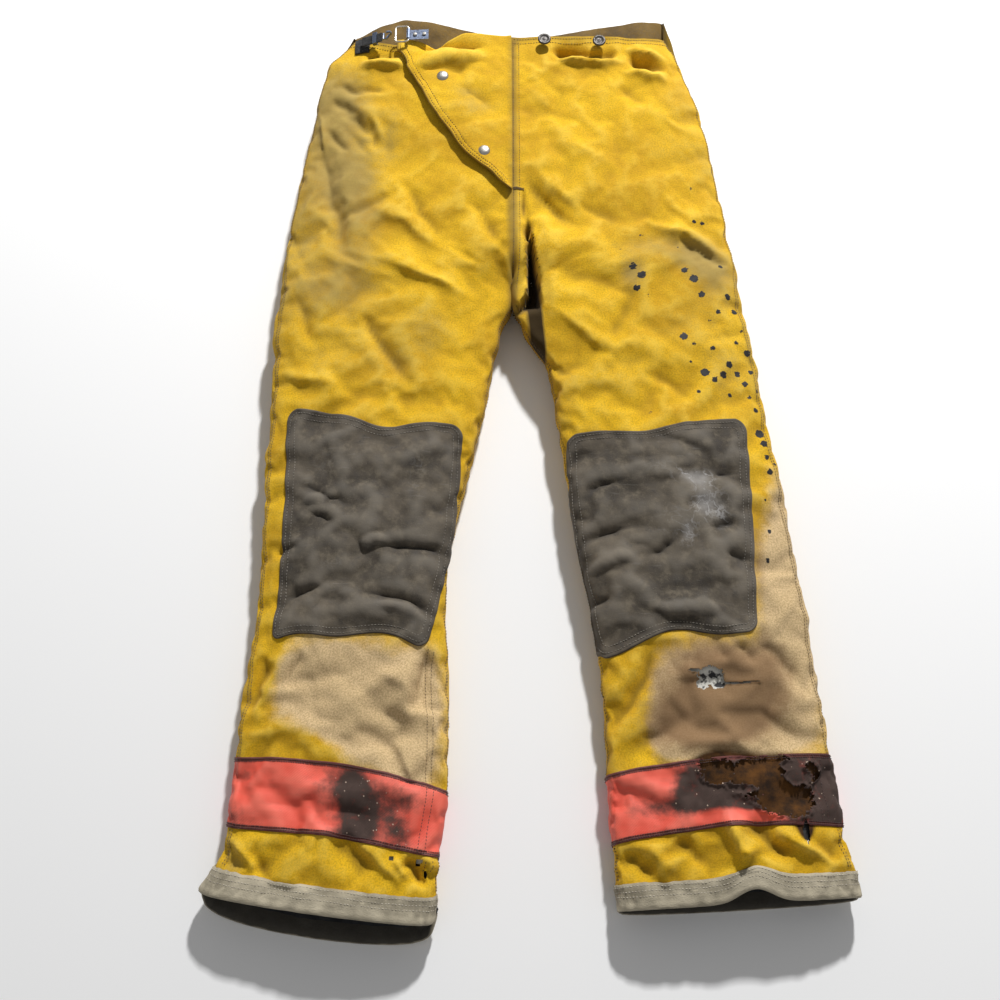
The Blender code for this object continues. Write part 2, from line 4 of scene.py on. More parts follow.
import bmesh
import bpy
import numpy as np
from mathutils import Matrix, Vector


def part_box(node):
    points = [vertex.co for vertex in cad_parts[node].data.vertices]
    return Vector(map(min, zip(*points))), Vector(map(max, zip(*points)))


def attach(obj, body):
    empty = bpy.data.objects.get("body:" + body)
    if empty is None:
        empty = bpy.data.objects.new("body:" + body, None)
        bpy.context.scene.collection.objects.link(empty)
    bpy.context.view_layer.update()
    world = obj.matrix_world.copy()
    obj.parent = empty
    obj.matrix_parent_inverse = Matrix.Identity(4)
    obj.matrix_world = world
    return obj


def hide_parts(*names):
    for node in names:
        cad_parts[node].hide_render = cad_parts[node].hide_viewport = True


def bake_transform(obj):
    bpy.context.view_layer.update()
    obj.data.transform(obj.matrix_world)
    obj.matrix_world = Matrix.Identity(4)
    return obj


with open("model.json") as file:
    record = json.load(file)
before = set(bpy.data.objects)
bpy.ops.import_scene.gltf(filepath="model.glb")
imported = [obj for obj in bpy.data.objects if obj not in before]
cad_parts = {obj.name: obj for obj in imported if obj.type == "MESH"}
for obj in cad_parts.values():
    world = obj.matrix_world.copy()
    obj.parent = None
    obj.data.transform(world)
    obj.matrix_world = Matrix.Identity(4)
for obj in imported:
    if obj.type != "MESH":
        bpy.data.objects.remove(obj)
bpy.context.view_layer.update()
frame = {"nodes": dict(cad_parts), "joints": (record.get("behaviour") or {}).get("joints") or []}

# Garment coordinates, in metres: X from the centre-front seam (the wearer's left is positive), Y from
# the front edge of the hems towards the waist, and Z from the back of the shell.
RIGHT, LEFT = -1, 1
SIDES = {RIGHT: "right", LEFT: "left"}
JOINTS = {joint["name"]: joint for joint in frame["joints"]}
HIP_Y, CROTCH_Y, WAIST_Y = 0.715, 0.700, 1.095
SHELL_FLOOR_Z = 0.0016
SEAM_X = (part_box("seat_front_right")[1][0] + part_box("seat_front_left")[0][0]) / 2
ORIGIN = np.array([SEAM_X, JOINTS["hip_left"]["pos_m"][1] - HIP_Y, SHELL_FLOOR_Z])
SPLIT_Y = 0.5705

# Outlines of each half: (Y, distance from the centre seam) and (Y, thickness).
OUTER_EDGE = {
    RIGHT: [(-0.02, 0.340), (0.0, 0.328), (0.03, 0.309), (0.06, 0.307), (0.14, 0.303), (0.22, 0.297),
            (0.32, 0.290), (0.60, 0.291), (0.68, 0.290), (0.76, 0.285), (0.85, 0.272), (0.92, 0.266),
            (1.00, 0.253), (1.045, 0.246), (1.075, 0.226), (1.13, 0.196)],
    LEFT: [(-0.02, 0.364), (0.01, 0.359), (0.05, 0.350), (0.09, 0.349), (0.165, 0.341), (0.25, 0.334),
           (0.345, 0.325), (0.42, 0.317), (0.49, 0.307), (0.57, 0.298), (0.665, 0.286), (0.79, 0.271),
           (0.91, 0.256), (1.005, 0.236), (1.07, 0.216), (1.13, 0.194)],
}
INNER_EDGE = {
    RIGHT: [(-0.02, 0.086), (0.05, 0.083), (0.11, 0.074), (0.23, 0.072), (0.31, 0.078), (0.37, 0.076),
            (0.44, 0.061), (0.52, 0.042), (0.585, 0.029), (0.667, 0.014), (0.70, 0.0)],
    LEFT: [(-0.02, 0.110), (0.07, 0.104), (0.13, 0.100), (0.22, 0.098), (0.30, 0.091), (0.37, 0.077),
           (0.445, 0.065), (0.507, 0.057), (0.572, 0.048), (0.612, 0.044), (0.656, 0.015), (0.70, 0.0)],
}
THICKNESS = [
    (-0.02, 0.046), (0.15, 0.05), (0.3, 0.055), (0.45, 0.06), (0.6, 0.063), (0.72, 0.067), (0.8, 0.068),
    (1.0, 0.068), (1.13, 0.062),
]
SIDE_SHARE, ROUNDNESS, BACK_FLATNESS = 0.42, 0.55, 1.12
HEM_SLOPE = {RIGHT: 0.130, LEFT: 0.055}
FRONT_HEM_DROP = {RIGHT: 0.010, LEFT: 0.0}
BACK_HEM_DROP = {RIGHT: 0.034, LEFT: 0.006}
BACK_WAIST_LIFT = 0.013
# How far the waist's edge stands from WAIST_Y, across the front and the back: (X, rise).
WAIST_FRONT = [
    (-0.25, 0.0), (-0.205, -0.008), (-0.15, -0.026), (-0.103, -0.03), (-0.062, -0.014), (0.0, -0.018),
    (0.043, -0.015), (0.12, -0.014), (0.165, -0.013), (0.195, -0.004), (0.25, 0.0),
]
WAIST_BACK = [
    (-0.25, 0.0), (-0.218, 0.01), (-0.18, 0.04), (-0.148, 0.053), (-0.111, 0.049), (-0.057, 0.034),
    (-0.016, 0.02), (0.038, 0.023), (0.12, 0.04), (0.175, 0.047), (0.2, 0.044), (0.25, 0.01),
]

# Grids over each half. Columns go round from the outseam over the front, turn 0 to 1, and back under
# it to the outseam, turn 1 to 2. The front and the back have their own column at turn 1.
STEP_Y, COLUMNS = 0.0035, 92
# Settling: every how many columns and rows take part, how many frames it runs for, how firmly the soft
# cloth is held, and how much larger than the wall it may be cut.
SETTLE_SKIP, SETTLE_FRAMES, SOFT_HOLD, GROWTH_RANGE = 2, 20, 0.30, (0.002, 0.040)
# The fold beside the crotch: how deep it drops, and the height below which it does not go.
WEDGE_DEPTH, WEDGE_FLOOR = 0.040, 0.022
ROWS = int(round(WAIST_Y / STEP_Y)) + 1
YS = np.linspace(0.0, WAIST_Y, ROWS)
TURNS = np.concatenate([np.linspace(0, 1, COLUMNS), np.linspace(1, 2, COLUMNS)])
IS_BACK = np.arange(2 * COLUMNS) >= COLUMNS


def smooth(t):
    t = np.clip(t, 0.0, 1.0)
    return t * t * (3 - 2 * t)


def through(stations, y, soften=0.012):
    """A line through (y, value) stations with its corners rounded off."""
    ys, values = zip(*stations)
    offsets = np.linspace(-2, 2, 9)
    weights = np.exp(-offsets**2)
    return sum(w * np.interp(y + o * soften, ys, values) for o, w in zip(offsets, weights)) / weights.sum()


def noise(u, v, seed):
    """Smooth noise over a plane, about -1 to 1, with one bump to a unit."""
    angles = np.random.default_rng(seed).uniform(0, 2 * math.pi, (61, 67))
    u, v = np.broadcast_arrays(np.asarray(u, float), np.asarray(v, float))
    i, j = np.floor(u).astype(int), np.floor(v).astype(int)
    total = 0.0
    for di in (0, 1):
        for dj in (0, 1):
            angle = angles[(i + di) % 61, (j + dj) % 67]
            a, b = u - i - di, v - j - dj
            weight = smooth(1 - abs(a)) * smooth(1 - abs(b))
            total = total + (np.cos(angle) * a + np.sin(angle) * b) * weight
    return total * 1.6


def edges(side, y):
    wobble = 0.0016 * noise(y / 0.045, 0.0, 3 + side) + 0.0010 * noise(y / 0.018, 5.0, 3 + side)
    outer = through(OUTER_EDGE[side], y) + wobble
    inner = (through(INNER_EDGE[side], y) - wobble) * smooth((CROTCH_Y + 0.001 - y) / 0.03)
    return outer, inner, math.pi - math.pi / 2 * smooth((y - CROTCH_Y) / 0.09)


def row_shift(side, across, x, y, back, rise):
    """How far a row at y is carried towards the waist, by the slopes of the hems and the waist."""
    outer, inner, _ = edges(side, y)
    near_waist = smooth((y - 0.96) / (WAIST_Y - 0.96))
    near_hem = smooth((0.16 - y) / 0.16)
    front = through(WAIST_FRONT, x, 0.006) * near_waist - FRONT_HEM_DROP[side] * near_hem * rise
    under = through(WAIST_BACK, x, 0.006) * near_waist - BACK_HEM_DROP[side] * near_hem * rise
    slope = HEM_SLOPE[side] * smooth((0.42 - y) / 0.42) * (across - (outer + inner) / 2)
    return np.where(back, under, front) + slope


def base_wall(side, turn, y, back):
    """Points of one half before its folds, in garment coordinates."""
    outer, inner, widest = edges(side, y)
    angle = np.where(back, 2 - turn, turn) * widest
    radius = (outer - inner) / (1 - np.cos(widest))
    across = outer - radius + radius * np.cos(angle)
    thick = through(THICKNESS, y)
    seam = SIDE_SHARE * thick
    rise = np.maximum(0.0, np.sin(angle)) ** ROUNDNESS
    floor = BACK_WAIST_LIFT * smooth((y - 1.02) / 0.08)
    under = seam - (seam - floor) * np.minimum(1.0, BACK_FLATNESS * rise)
    z = np.where(back, under, seam + (thick - seam) * rise)
    x = side * across
    return np.stack(np.broadcast_arrays(x, y + row_shift(side, across, x, y, back, rise), z), axis=-1)


def turn_at(side, x, y):
    """Turn at which the front lies at that X."""
    outer, inner, widest = edges(side, y)
    radius = (outer - inner) / (1 - np.cos(widest))
    return np.arccos(np.clip((np.abs(x) - outer + radius) / radius, -1, 1)) / widest


def front_at(side, x, y):
    """(turn, row) of the front at a place in garment coordinates."""
    x, y = np.broadcast_arrays(np.asarray(x, float), np.asarray(y, float))
    row = y
    for _ in range(6):
        rise = np.maximum(0.0, np.sin(turn_at(side, x, row) * edges(side, row)[2])) ** ROUNDNESS
        row = np.clip(y - row_shift(side, np.abs(x), x, row, False, rise), -0.02, WAIST_Y)
    return turn_at(side, x, row), row


# Folds laid on the front: (X, Y) of the two ends, width, height and lean. A ridge has a
# positive height, and a fold that leans by a positive lean is steeper on the right of its direction.
FRONT_FOLDS = [
    ((-0.248, 0.930), (-0.202, 0.735), 0.012, -0.0055, 0.3),
    ((-0.222, 0.905), (-0.190, 0.760), 0.016, 0.0040, 0.2),
    ((-0.186, 0.830), (-0.085, 0.755), 0.013, 0.0050, 0.4),
    ((-0.138, 0.855), (-0.088, 0.765), 0.009, -0.0035, 0.2),
    ((-0.160, 0.752), (-0.050, 0.690), 0.014, 0.0055, 0.4),
    ((-0.190, 0.672), (-0.120, 0.572), 0.010, -0.0045, 0.2),
    ((-0.267, 0.695), (-0.238, 0.625), 0.010, -0.0040, 0.2),
    ((-0.226, 0.800), (-0.145, 0.838), 0.009, -0.0035, -0.2),
    ((-0.058, 0.830), (-0.014, 0.765), 0.008, -0.0030, 0.2),
    ((-0.272, 0.583), (-0.200, 0.577), 0.010, 0.0040, 0.4),
    ((-0.250, 0.500), (-0.190, 0.560), 0.012, -0.0030, 0.0),
    ((0.013, 0.860), (0.078, 0.786), 0.010, -0.0050, -0.3),
    ((0.028, 0.866), (0.100, 0.800), 0.011, 0.0040, 0.2),
    ((0.038, 0.836), (0.150, 0.794), 0.012, -0.0032, 0.0),
    ((0.165, 0.795), (0.270, 0.742), 0.013, 0.0068, 0.5),
    ((0.198, 0.770), (0.262, 0.738), 0.009, -0.0045, 0.0),
    ((0.030, 0.738), (0.155, 0.690), 0.014, -0.0040, 0.0),
    ((0.150, 0.704), (0.110, 0.625), 0.011, -0.0040, 0.2),
    ((0.055, 0.672), (0.108, 0.622), 0.011, 0.0035, 0.3),
    ((0.160, 0.595), (0.215, 0.548), 0.010, -0.0040, 0.2),
    ((0.136, 1.006), (0.176, 0.962), 0.010, -0.0040, 0.2),
    ((-0.218, 0.956), (-0.180, 0.890), 0.010, -0.0040, 0.2),
    ((-0.179, 0.960), (-0.150, 0.880), 0.011, -0.0035, 0.2),
    ((-0.200, 0.975), (-0.160, 0.905), 0.011, 0.0040, 0.3),
    # Short creases under the strap.
    ((-0.225, 1.010), (-0.188, 0.983), 0.006, -0.0040, 0.2),
    ((-0.234, 0.987), (-0.194, 0.953), 0.006, -0.0042, 0.2),
    ((-0.217, 0.966), (-0.180, 0.922), 0.006, -0.0046, 0.2),
    ((-0.243, 0.942), (-0.204, 0.903), 0.006, -0.0040, 0.2),
    ((-0.204, 1.004), (-0.165, 0.985), 0.006, -0.0036, 0.2),
    ((-0.188, 0.948), (-0.171, 0.898), 0.006, -0.0040, 0.2),
    ((-0.248, 0.968), (-0.240, 0.896), 0.006, 0.0040, 0.2),
    # The fly's gusset and the deep fold beside it.
    ((0.002, 0.862), (0.012, 0.640), 0.010, 0.0050, -0.2),
    ((0.034, 0.820), (0.058, 0.640), 0.020, 0.0050, 0.3),
    # Folds under the waist.
    ((-0.205, 1.038), (-0.128, 1.036), 0.010, 0.0080, 0.5),
    ((-0.200, 1.052), (-0.135, 1.050), 0.008, -0.0060, 0.0),
    ((-0.136, 1.060), (-0.028, 1.058), 0.012, -0.0100, 0.0),
    ((-0.130, 1.034), (-0.030, 1.040), 0.012, 0.0080, 0.5),
    ((-0.120, 1.020), (-0.050, 1.016), 0.010, -0.0040, 0.2),
    ((0.046, 1.058), (0.104, 1.050), 0.009, -0.0140, 0.0),
    ((0.084, 1.048), (0.140, 1.056), 0.009, -0.0120, 0.0),
    ((0.050, 1.036), (0.150, 1.038), 0.009, 0.0085, 0.45),
    ((0.146, 1.041), (0.204, 1.032), 0.011, -0.0110, 0.0),
    ((0.146, 1.060), (0.206, 1.054), 0.009, 0.0050, 0.3),
    ((0.140, 1.020), (0.208, 1.012), 0.010, 0.0070, 0.4),
    ((-0.080, 1.000), (-0.010, 0.950), 0.016, -0.0040, 0.0),
    # Creases in the knee patches.
    ((-0.246, 0.455), (-0.190, 0.424), 0.007, -0.0049, 0.0),
    ((-0.236, 0.416), (-0.200, 0.400), 0.006, -0.0049, 0.0),
    ((-0.176, 0.380), (-0.140, 0.382), 0.005, 0.0038, 0.3),
    ((-0.152, 0.372), (-0.075, 0.369), 0.007, -0.0072, 0.0),
    ((-0.262, 0.322), (-0.212, 0.332), 0.007, -0.0052, 0.0),
    ((-0.164, 0.326), (-0.085, 0.297), 0.007, -0.0052, 0.0),
    ((-0.158, 0.311), (-0.096, 0.290), 0.005, 0.0041, 0.3),
    ((-0.270, 0.367), (-0.240, 0.382), 0.006, -0.0043, 0.0),
    ((-0.246, 0.430), (-0.196, 0.442), 0.007, 0.0041, 0.3),
    ((0.076, 0.447), (0.128, 0.451), 0.007, -0.0043, 0.0),
    ((0.075, 0.383), (0.140, 0.400), 0.008, -0.0058, 0.0),
    ((0.212, 0.394), (0.258, 0.405), 0.007, -0.0049, 0.0),
    ((0.230, 0.371), (0.270, 0.358), 0.007, -0.0049, 0.0),
    ((0.084, 0.350), (0.140, 0.366), 0.007, 0.0043, 0.3),
    ((0.150, 0.368), (0.188, 0.381), 0.006, -0.0038, 0.0),
    ((0.083, 0.313), (0.118, 0.320), 0.006, -0.0038, 0.0),
    ((0.226, 0.456), (0.262, 0.470), 0.006, -0.0038, 0.0),
    ((0.150, 0.310), (0.230, 0.300), 0.009, 0.0038, 0.3),
    # Folds that run down from the patches.
    ((-0.096, 0.268), (-0.104, 0.180), 0.010, -0.0080, 0.4),
    ((-0.118, 0.262), (-0.120, 0.170), 0.012, 0.0050, -0.3),
    ((-0.268, 0.262), (-0.290, 0.185), 0.010, -0.0050, 0.2),
    ((-0.248, 0.266), (-0.272, 0.195), 0.011, 0.0040, 0.0),
    ((-0.232, 0.262), (-0.246, 0.215), 0.007, -0.0034, 0.0),
    ((-0.178, 0.182), (-0.112, 0.136), 0.012, -0.0042, 0.3),
    ((-0.150, 0.240), (-0.104, 0.205), 0.010, 0.0034, 0.3),
    ((-0.135, 0.165), (-0.105, 0.120), 0.009, 0.0050, 0.4),
    ((-0.170, 0.200), (-0.115, 0.185), 0.010, -0.0030, 0.0),
    ((0.160, 0.268), (0.104, 0.165), 0.012, -0.0058, -0.3),
    ((0.140, 0.262), (0.092, 0.190), 0.013, 0.0045, 0.0),
    ((0.124, 0.150), (0.216, 0.200), 0.011, -0.0038, 0.0),
    ((0.200, 0.275), (0.196, 0.235), 0.006, -0.0026, 0.0),
    ((0.222, 0.275), (0.232, 0.240), 0.006, -0.0026, 0.0),
    ((0.244, 0.272), (0.262, 0.238), 0.006, -0.0030, 0.0),
    ((0.264, 0.196), (0.316, 0.150), 0.010, -0.0036, 0.0),
    ((0.262, 0.268), (0.322, 0.224), 0.011, -0.0030, 0.0),
    ((0.176, 0.160), (0.272, 0.152), 0.011, 0.0036, 0.4),
    # Folds between the trim and the hems.
    ((-0.300, 0.060), (-0.262, 0.030), 0.009, 0.0055, 0.3),
    ((-0.286, 0.058), (-0.250, 0.020), 0.008, -0.0050, 0.0),
    ((-0.200, 0.058), (-0.140, 0.020), 0.011, -0.0050, 0.0),
    ((-0.170, 0.058), (-0.110, 0.012), 0.010, 0.0046, 0.3),
    ((-0.124, 0.046), (-0.104, 0.014), 0.007, 0.0060, 0.3),
    ((-0.114, 0.048), (-0.092, 0.008), 0.007, -0.0095, 0.0),
    ((-0.100, 0.046), (-0.082, 0.020), 0.006, 0.0065, 0.3),
    ((0.116, 0.052), (0.150, 0.016), 0.009, -0.0050, 0.0),
    ((0.134, 0.060), (0.176, 0.016), 0.010, 0.0055, -0.3),
    ((0.170, 0.066), (0.196, 0.024), 0.009, -0.0046, 0.0),
    ((0.214, 0.095), (0.246, 0.012), 0.015, 0.0130, 0.55),
    ((0.238, 0.090), (0.292, 0.030), 0.015, -0.0100, 0.0),
    ((0.268, 0.078), (0.322, 0.034), 0.011, 0.0070, 0.3),
    ((0.300, 0.066), (0.340, 0.036), 0.008, -0.0040, 0.0),
]
# Below 2, so that folds have creased rather than round crests.
CREASE_POWER = 1.45
# Snaps and front buttons, round which the cloth lies flat: (X, Y).
FASTENERS = [(-0.090, 1.007), (-0.036, 0.892), (0.042, 1.067), (0.114, 1.067)]


def fold(x, y, start, end, width, height, lean):
    """Height of one fold at places, tapering out at both its ends."""
    (x0, y0), (x1, y1) = start, end
    length = math.hypot(x1 - x0, y1 - y0)
    ux, uy = (x1 - x0) / length, (y1 - y0) / length
    along = ((x - x0) * ux + (y - y0) * uy) / length
    aside = -(x - x0) * uy + (y - y0) * ux
    strength = smooth(along / 0.35) * smooth((1 - along) / 0.35)
    reach = width * (0.6 + 0.4 * strength) * np.where(aside > 0, 1 + lean, 1 - lean)
    return height * strength * np.exp(-(np.abs(aside / reach) ** CREASE_POWER))


def scattered_folds(x, y, side, back):
    """Small creases thrown over a face, with seeded places."""
    rng = np.random.default_rng(40 + side + 10 * back)
    total = np.zeros_like(x)
    for _ in range(150 if back else 110):
        cy = rng.uniform(0.0, 1.08)
        cx = side * rng.uniform(0.02, 0.32)
        spin = rng.normal(-0.6 * side, 0.7)
        length, width = rng.uniform(0.03, 0.11), rng.uniform(0.004, 0.011)
        height = rng.uniform(0.0006, 0.0024) * rng.choice((-1, 1))
        dx, dy = math.sin(spin) * length / 2, math.cos(spin) * length / 2
        total += fold(x, y, (cx - dx, cy - dy), (cx + dx, cy + dy), width, height, rng.uniform(-0.4, 0.4))
    return total


def relief(side, x, y, back, turn):
    """Height of the cloth over its base wall."""
    warp_x = x + 0.006 * noise(x / 0.05, y / 0.05, 11) + 0.0020 * noise(x / 0.016, y / 0.016, 12)
    warp_y = y + 0.006 * noise(x / 0.05, y / 0.05, 13) + 0.0020 * noise(x / 0.016, y / 0.016, 14)
    height = 0.6 * scattered_folds(warp_x, warp_y, side, back)
    if not back:
        for start, end, width, size, lean in FRONT_FOLDS:
            height += 1.3 * fold(warp_x, warp_y, start, end, width, size, lean)
    height += 0.0028 * noise(warp_x / 0.075, warp_y / 0.085, 21 + back)
    height += 0.0013 * noise(warp_x / 0.030, warp_y / 0.036, 23 + back)
    height += 0.0006 * noise(warp_x / 0.012, warp_y / 0.014, 25 + back)
    height += 0.00022 * noise(warp_x / 0.006, warp_y / 0.006, 27 + back)
    for fx, fy in FASTENERS:
        height *= 1 - 0.9 * np.exp(-((x - fx) ** 2 + (y - fy) ** 2) / 0.018**2)
    at_outseam = smooth(np.minimum(turn, 2 - turn) / 0.035)
    at_inseam = smooth(abs(turn - 1) / 0.04)
    calm = at_outseam * (at_inseam + (1 - at_inseam) * smooth((y - 0.72) / 0.05))
    if back:
        # The back lies on the floor, so its folds only stand away from it.
        height = -np.abs(height) * 0.7
    return height * calm


def seam_relief(side, x, y, turn, back):
    """Ridges of the felled seams, with the puckers that their stitching draws in."""
    distance = np.abs(turn - (2 - OUTSEAM_TURN if back else OUTSEAM_TURN)) * 0.35
    pucker = 0.6 + 0.4 * noise(y / 0.006, side * 3.0, 31)
    ridge = np.exp(-((distance / 0.0050) ** 4)) * pucker
    centre = np.exp(-((np.abs(x) / 0.0060) ** 4)) * smooth((y - 0.70) / 0.05) * pucker
    return 0.0011 * ridge + 0.0013 * centre


OUTSEAM_TURN = 0.115
SURFACE, NORMAL, LIFT_WAY, LAY, BASE = {}, {}, {}, {}, {}


def normals_of(points):
    """Outward normals of a grid of points."""
    n = np.cross(np.gradient(points, axis=0), np.gradient(points, axis=1))
    return n / np.maximum(np.linalg.norm(n, axis=-1, keepdims=True), 1e-12)


def half_normals(points, side):
    sign = -1 if side == RIGHT else 1
    front, under = (sign * normals_of(part) for part in (points[:COLUMNS], points[COLUMNS:]))
    if front[COLUMNS // 2, ROWS // 3, 2] < 0:
        front, under = -front, -under
    shared = front[0] + under[-1]
    front[0] = under[-1] = shared / np.linalg.norm(shared, axis=-1, keepdims=True)
    legs = YS <= CROTCH_Y
    shared = front[-1, legs] + under[0, legs]
    shared = shared / np.maximum(np.linalg.norm(shared, axis=-1, keepdims=True), 1e-9)
    front[-1, legs] = under[0, legs] = shared
    return np.concatenate([front, under])


def growth(x, y, back):
    """Share by which the cloth is cut larger than the wall it lies on, so that it settles into folds."""
    near_knee = np.exp(-(((np.abs(x) - 0.175) / 0.10) ** 4 + ((y - 0.392) / 0.135) ** 4))
    share = 0.007 + 0.007 * smooth((0.90 - y) / 0.15) + 0.010 * smooth((0.26 - y) / 0.08)
    share = share * (1 + 0.8 * noise(x / 0.10, y / 0.12, 61 + back)) * (1 - 0.30 * near_knee)
    on_flap = smooth((y - 0.83) / 0.03) * smooth((0.01 - x) / 0.01) * smooth((x + 0.17) / 0.02)
    share = share * (1 - 0.75 * on_flap * ~np.asarray(back))
    return np.clip(share, GROWTH_RANGE[0], GROWTH_RANGE[1])


def group_of(obj, name, weights):
    """A vertex group with a weight for every point, in 40 steps."""
    group = obj.vertex_groups.new(name=name)
    steps = np.round(np.asarray(weights).reshape(-1) * 40) / 40
    for level in np.unique(steps):
        group.add(np.nonzero(steps == level)[0].tolist(), float(level), "REPLACE")


def settled(side, points):
    """Offsets of one half's cloth from its wall once cloth that is cut too large has settled."""
    picked = np.unique(np.append(np.arange(0, COLUMNS, SETTLE_SKIP), COLUMNS - 1))
    columns, rows = np.concatenate([picked, COLUMNS + picked]), np.arange(0, ROWS, SETTLE_SKIP)
    rest = points[np.ix_(columns, rows)]
    wide, high = len(columns), len(rows)
    index = np.arange(wide * high).reshape(wide, high)
    quads = np.stack([index[:-1, :-1], index[1:, :-1], index[1:, 1:], index[:-1, 1:]], axis=-1)
    keep = np.arange(wide - 1) != wide // 2 - 1
    mesh = bpy.data.meshes.new("settling_cloth")
    mesh.from_pydata(rest.reshape(-1, 3), [], quads[keep].reshape(-1, 4).tolist())
    obj = bpy.data.objects.new("settling_cloth", mesh)
    scene = bpy.context.scene
    scene.collection.objects.link(obj)
    turn, y = TURNS[columns][:, None], YS[rows][None, :]
    seam = np.minimum(np.minimum(turn, 2 - turn), np.abs(turn - 1))
    hold = SOFT_HOLD + (1 - SOFT_HOLD) * np.maximum(
        1 - smooth((seam - 0.010) / 0.045), 1 - smooth(np.minimum(y, WAIST_Y - 0.03 - y) / 0.02))
    for fx, fy in FASTENERS:
        near = ((rest[..., 0] - fx) / 0.022) ** 4 + ((rest[..., 1] - fy) / 0.022) ** 4
        hold = np.maximum(hold, np.exp(-near))
    group_of(obj, "hold", hold)
    under = IS_BACK[columns][:, None]
    share = growth(rest[..., 0], rest[..., 1], under)
    group_of(obj, "growth", (GROWTH_RANGE[1] - share) / (GROWTH_RANGE[1] - GROWTH_RANGE[0]))
    modifier = obj.modifiers.new("settle", "CLOTH")
    cloth_settings = modifier.settings
    cloth_settings.vertex_group_mass = "hold"
    cloth_settings.vertex_group_shrink = "growth"
    cloth_settings.shrink_min, cloth_settings.shrink_max = -GROWTH_RANGE[1], -GROWTH_RANGE[0]
    cloth_settings.quality = 6
    cloth_settings.mass = 0.15
    cloth_settings.air_damping = 0.5
    cloth_settings.tension_stiffness = cloth_settings.compression_stiffness = 80
    cloth_settings.shear_stiffness = 10
    cloth_settings.bending_stiffness = 30
    cloth_settings.bending_damping = 1.0
    cloth_settings.effector_weights.gravity = 0.0
    modifier.point_cache.frame_end = SETTLE_FRAMES
    for frame_number in range(1, SETTLE_FRAMES + 1):
        scene.frame_set(frame_number)
    moved = np.empty(wide * high * 3, np.float32)
    obj.evaluated_get(bpy.context.evaluated_depsgraph_get()).data.vertices.foreach_get("co", moved)
    bpy.data.objects.remove(obj)
    scene.frame_set(1)
    offset = moved.reshape(wide, high, 3) - rest
    u = np.interp(np.arange(COLUMNS), picked, np.arange(len(picked)))
    v = np.interp(np.arange(ROWS), rows, np.arange(high))
    return np.concatenate([between(part, u, v) for part in (offset[:wide // 2], offset[wide // 2:])])


def between(field, u, v):
    """A coarse grid's values at finer places, through smooth cubic curves."""
    for axis, places in ((0, u), (1, v)):
        i = np.minimum(places.astype(int), field.shape[axis] - 2)
        t = (places - i).reshape((-1, 1, 1) if axis == 0 else (1, -1, 1))
        at = [np.take(field, np.clip(i + k, 0, field.shape[axis] - 1), axis=axis) for k in (-1, 0, 1, 2)]
        field = (at[1] + 0.5 * t * (at[2] - at[0] + t * (2 * at[0] - 5 * at[1] + 4 * at[2] - at[3]
                 + t * (3 * (at[1] - at[2]) + at[3] - at[0]))))
    return field


# Where the left leg's crest and the fly's gusset lie beside the crotch: (Y, X).
CREST_LINE = [(0.560, 0.052), (0.600, 0.0445), (0.660, 0.0390), (0.710, 0.0335), (0.780, 0.0235),
              (0.843, 0.0150)]
GUSSET_LINE = [(0.640, -0.030), (0.690, 0.012), (0.710, 0.0200), (0.780, 0.0165), (0.843, 0.0105)]
# How much of the fold each row takes, rising from 0 to 1 past the crotch.
WEDGE_ROWS = smooth((YS - 0.672) / 0.035)


def crotch_wedge(x, y):
    """Depth, 0 to 1, of the fold that drops between the fly's gusset and the left leg's crest."""
    crest, gusset = (np.interp(y, *zip(*line)) for line in (CREST_LINE, GUSSET_LINE))
    crest = crest + 0.0016 * noise(y / 0.03, 1.5, 81)
    gusset = gusset + 0.0012 * noise(y / 0.02, 4.5, 82)
    across = smooth((crest - x) / 0.0060) * smooth((x - gusset + 0.0015) / 0.0040)
    across = across * smooth((x + 0.001) / 0.002)
    return across * smooth((0.862 - y) / 0.10) * smooth((y - 0.560) / 0.05)


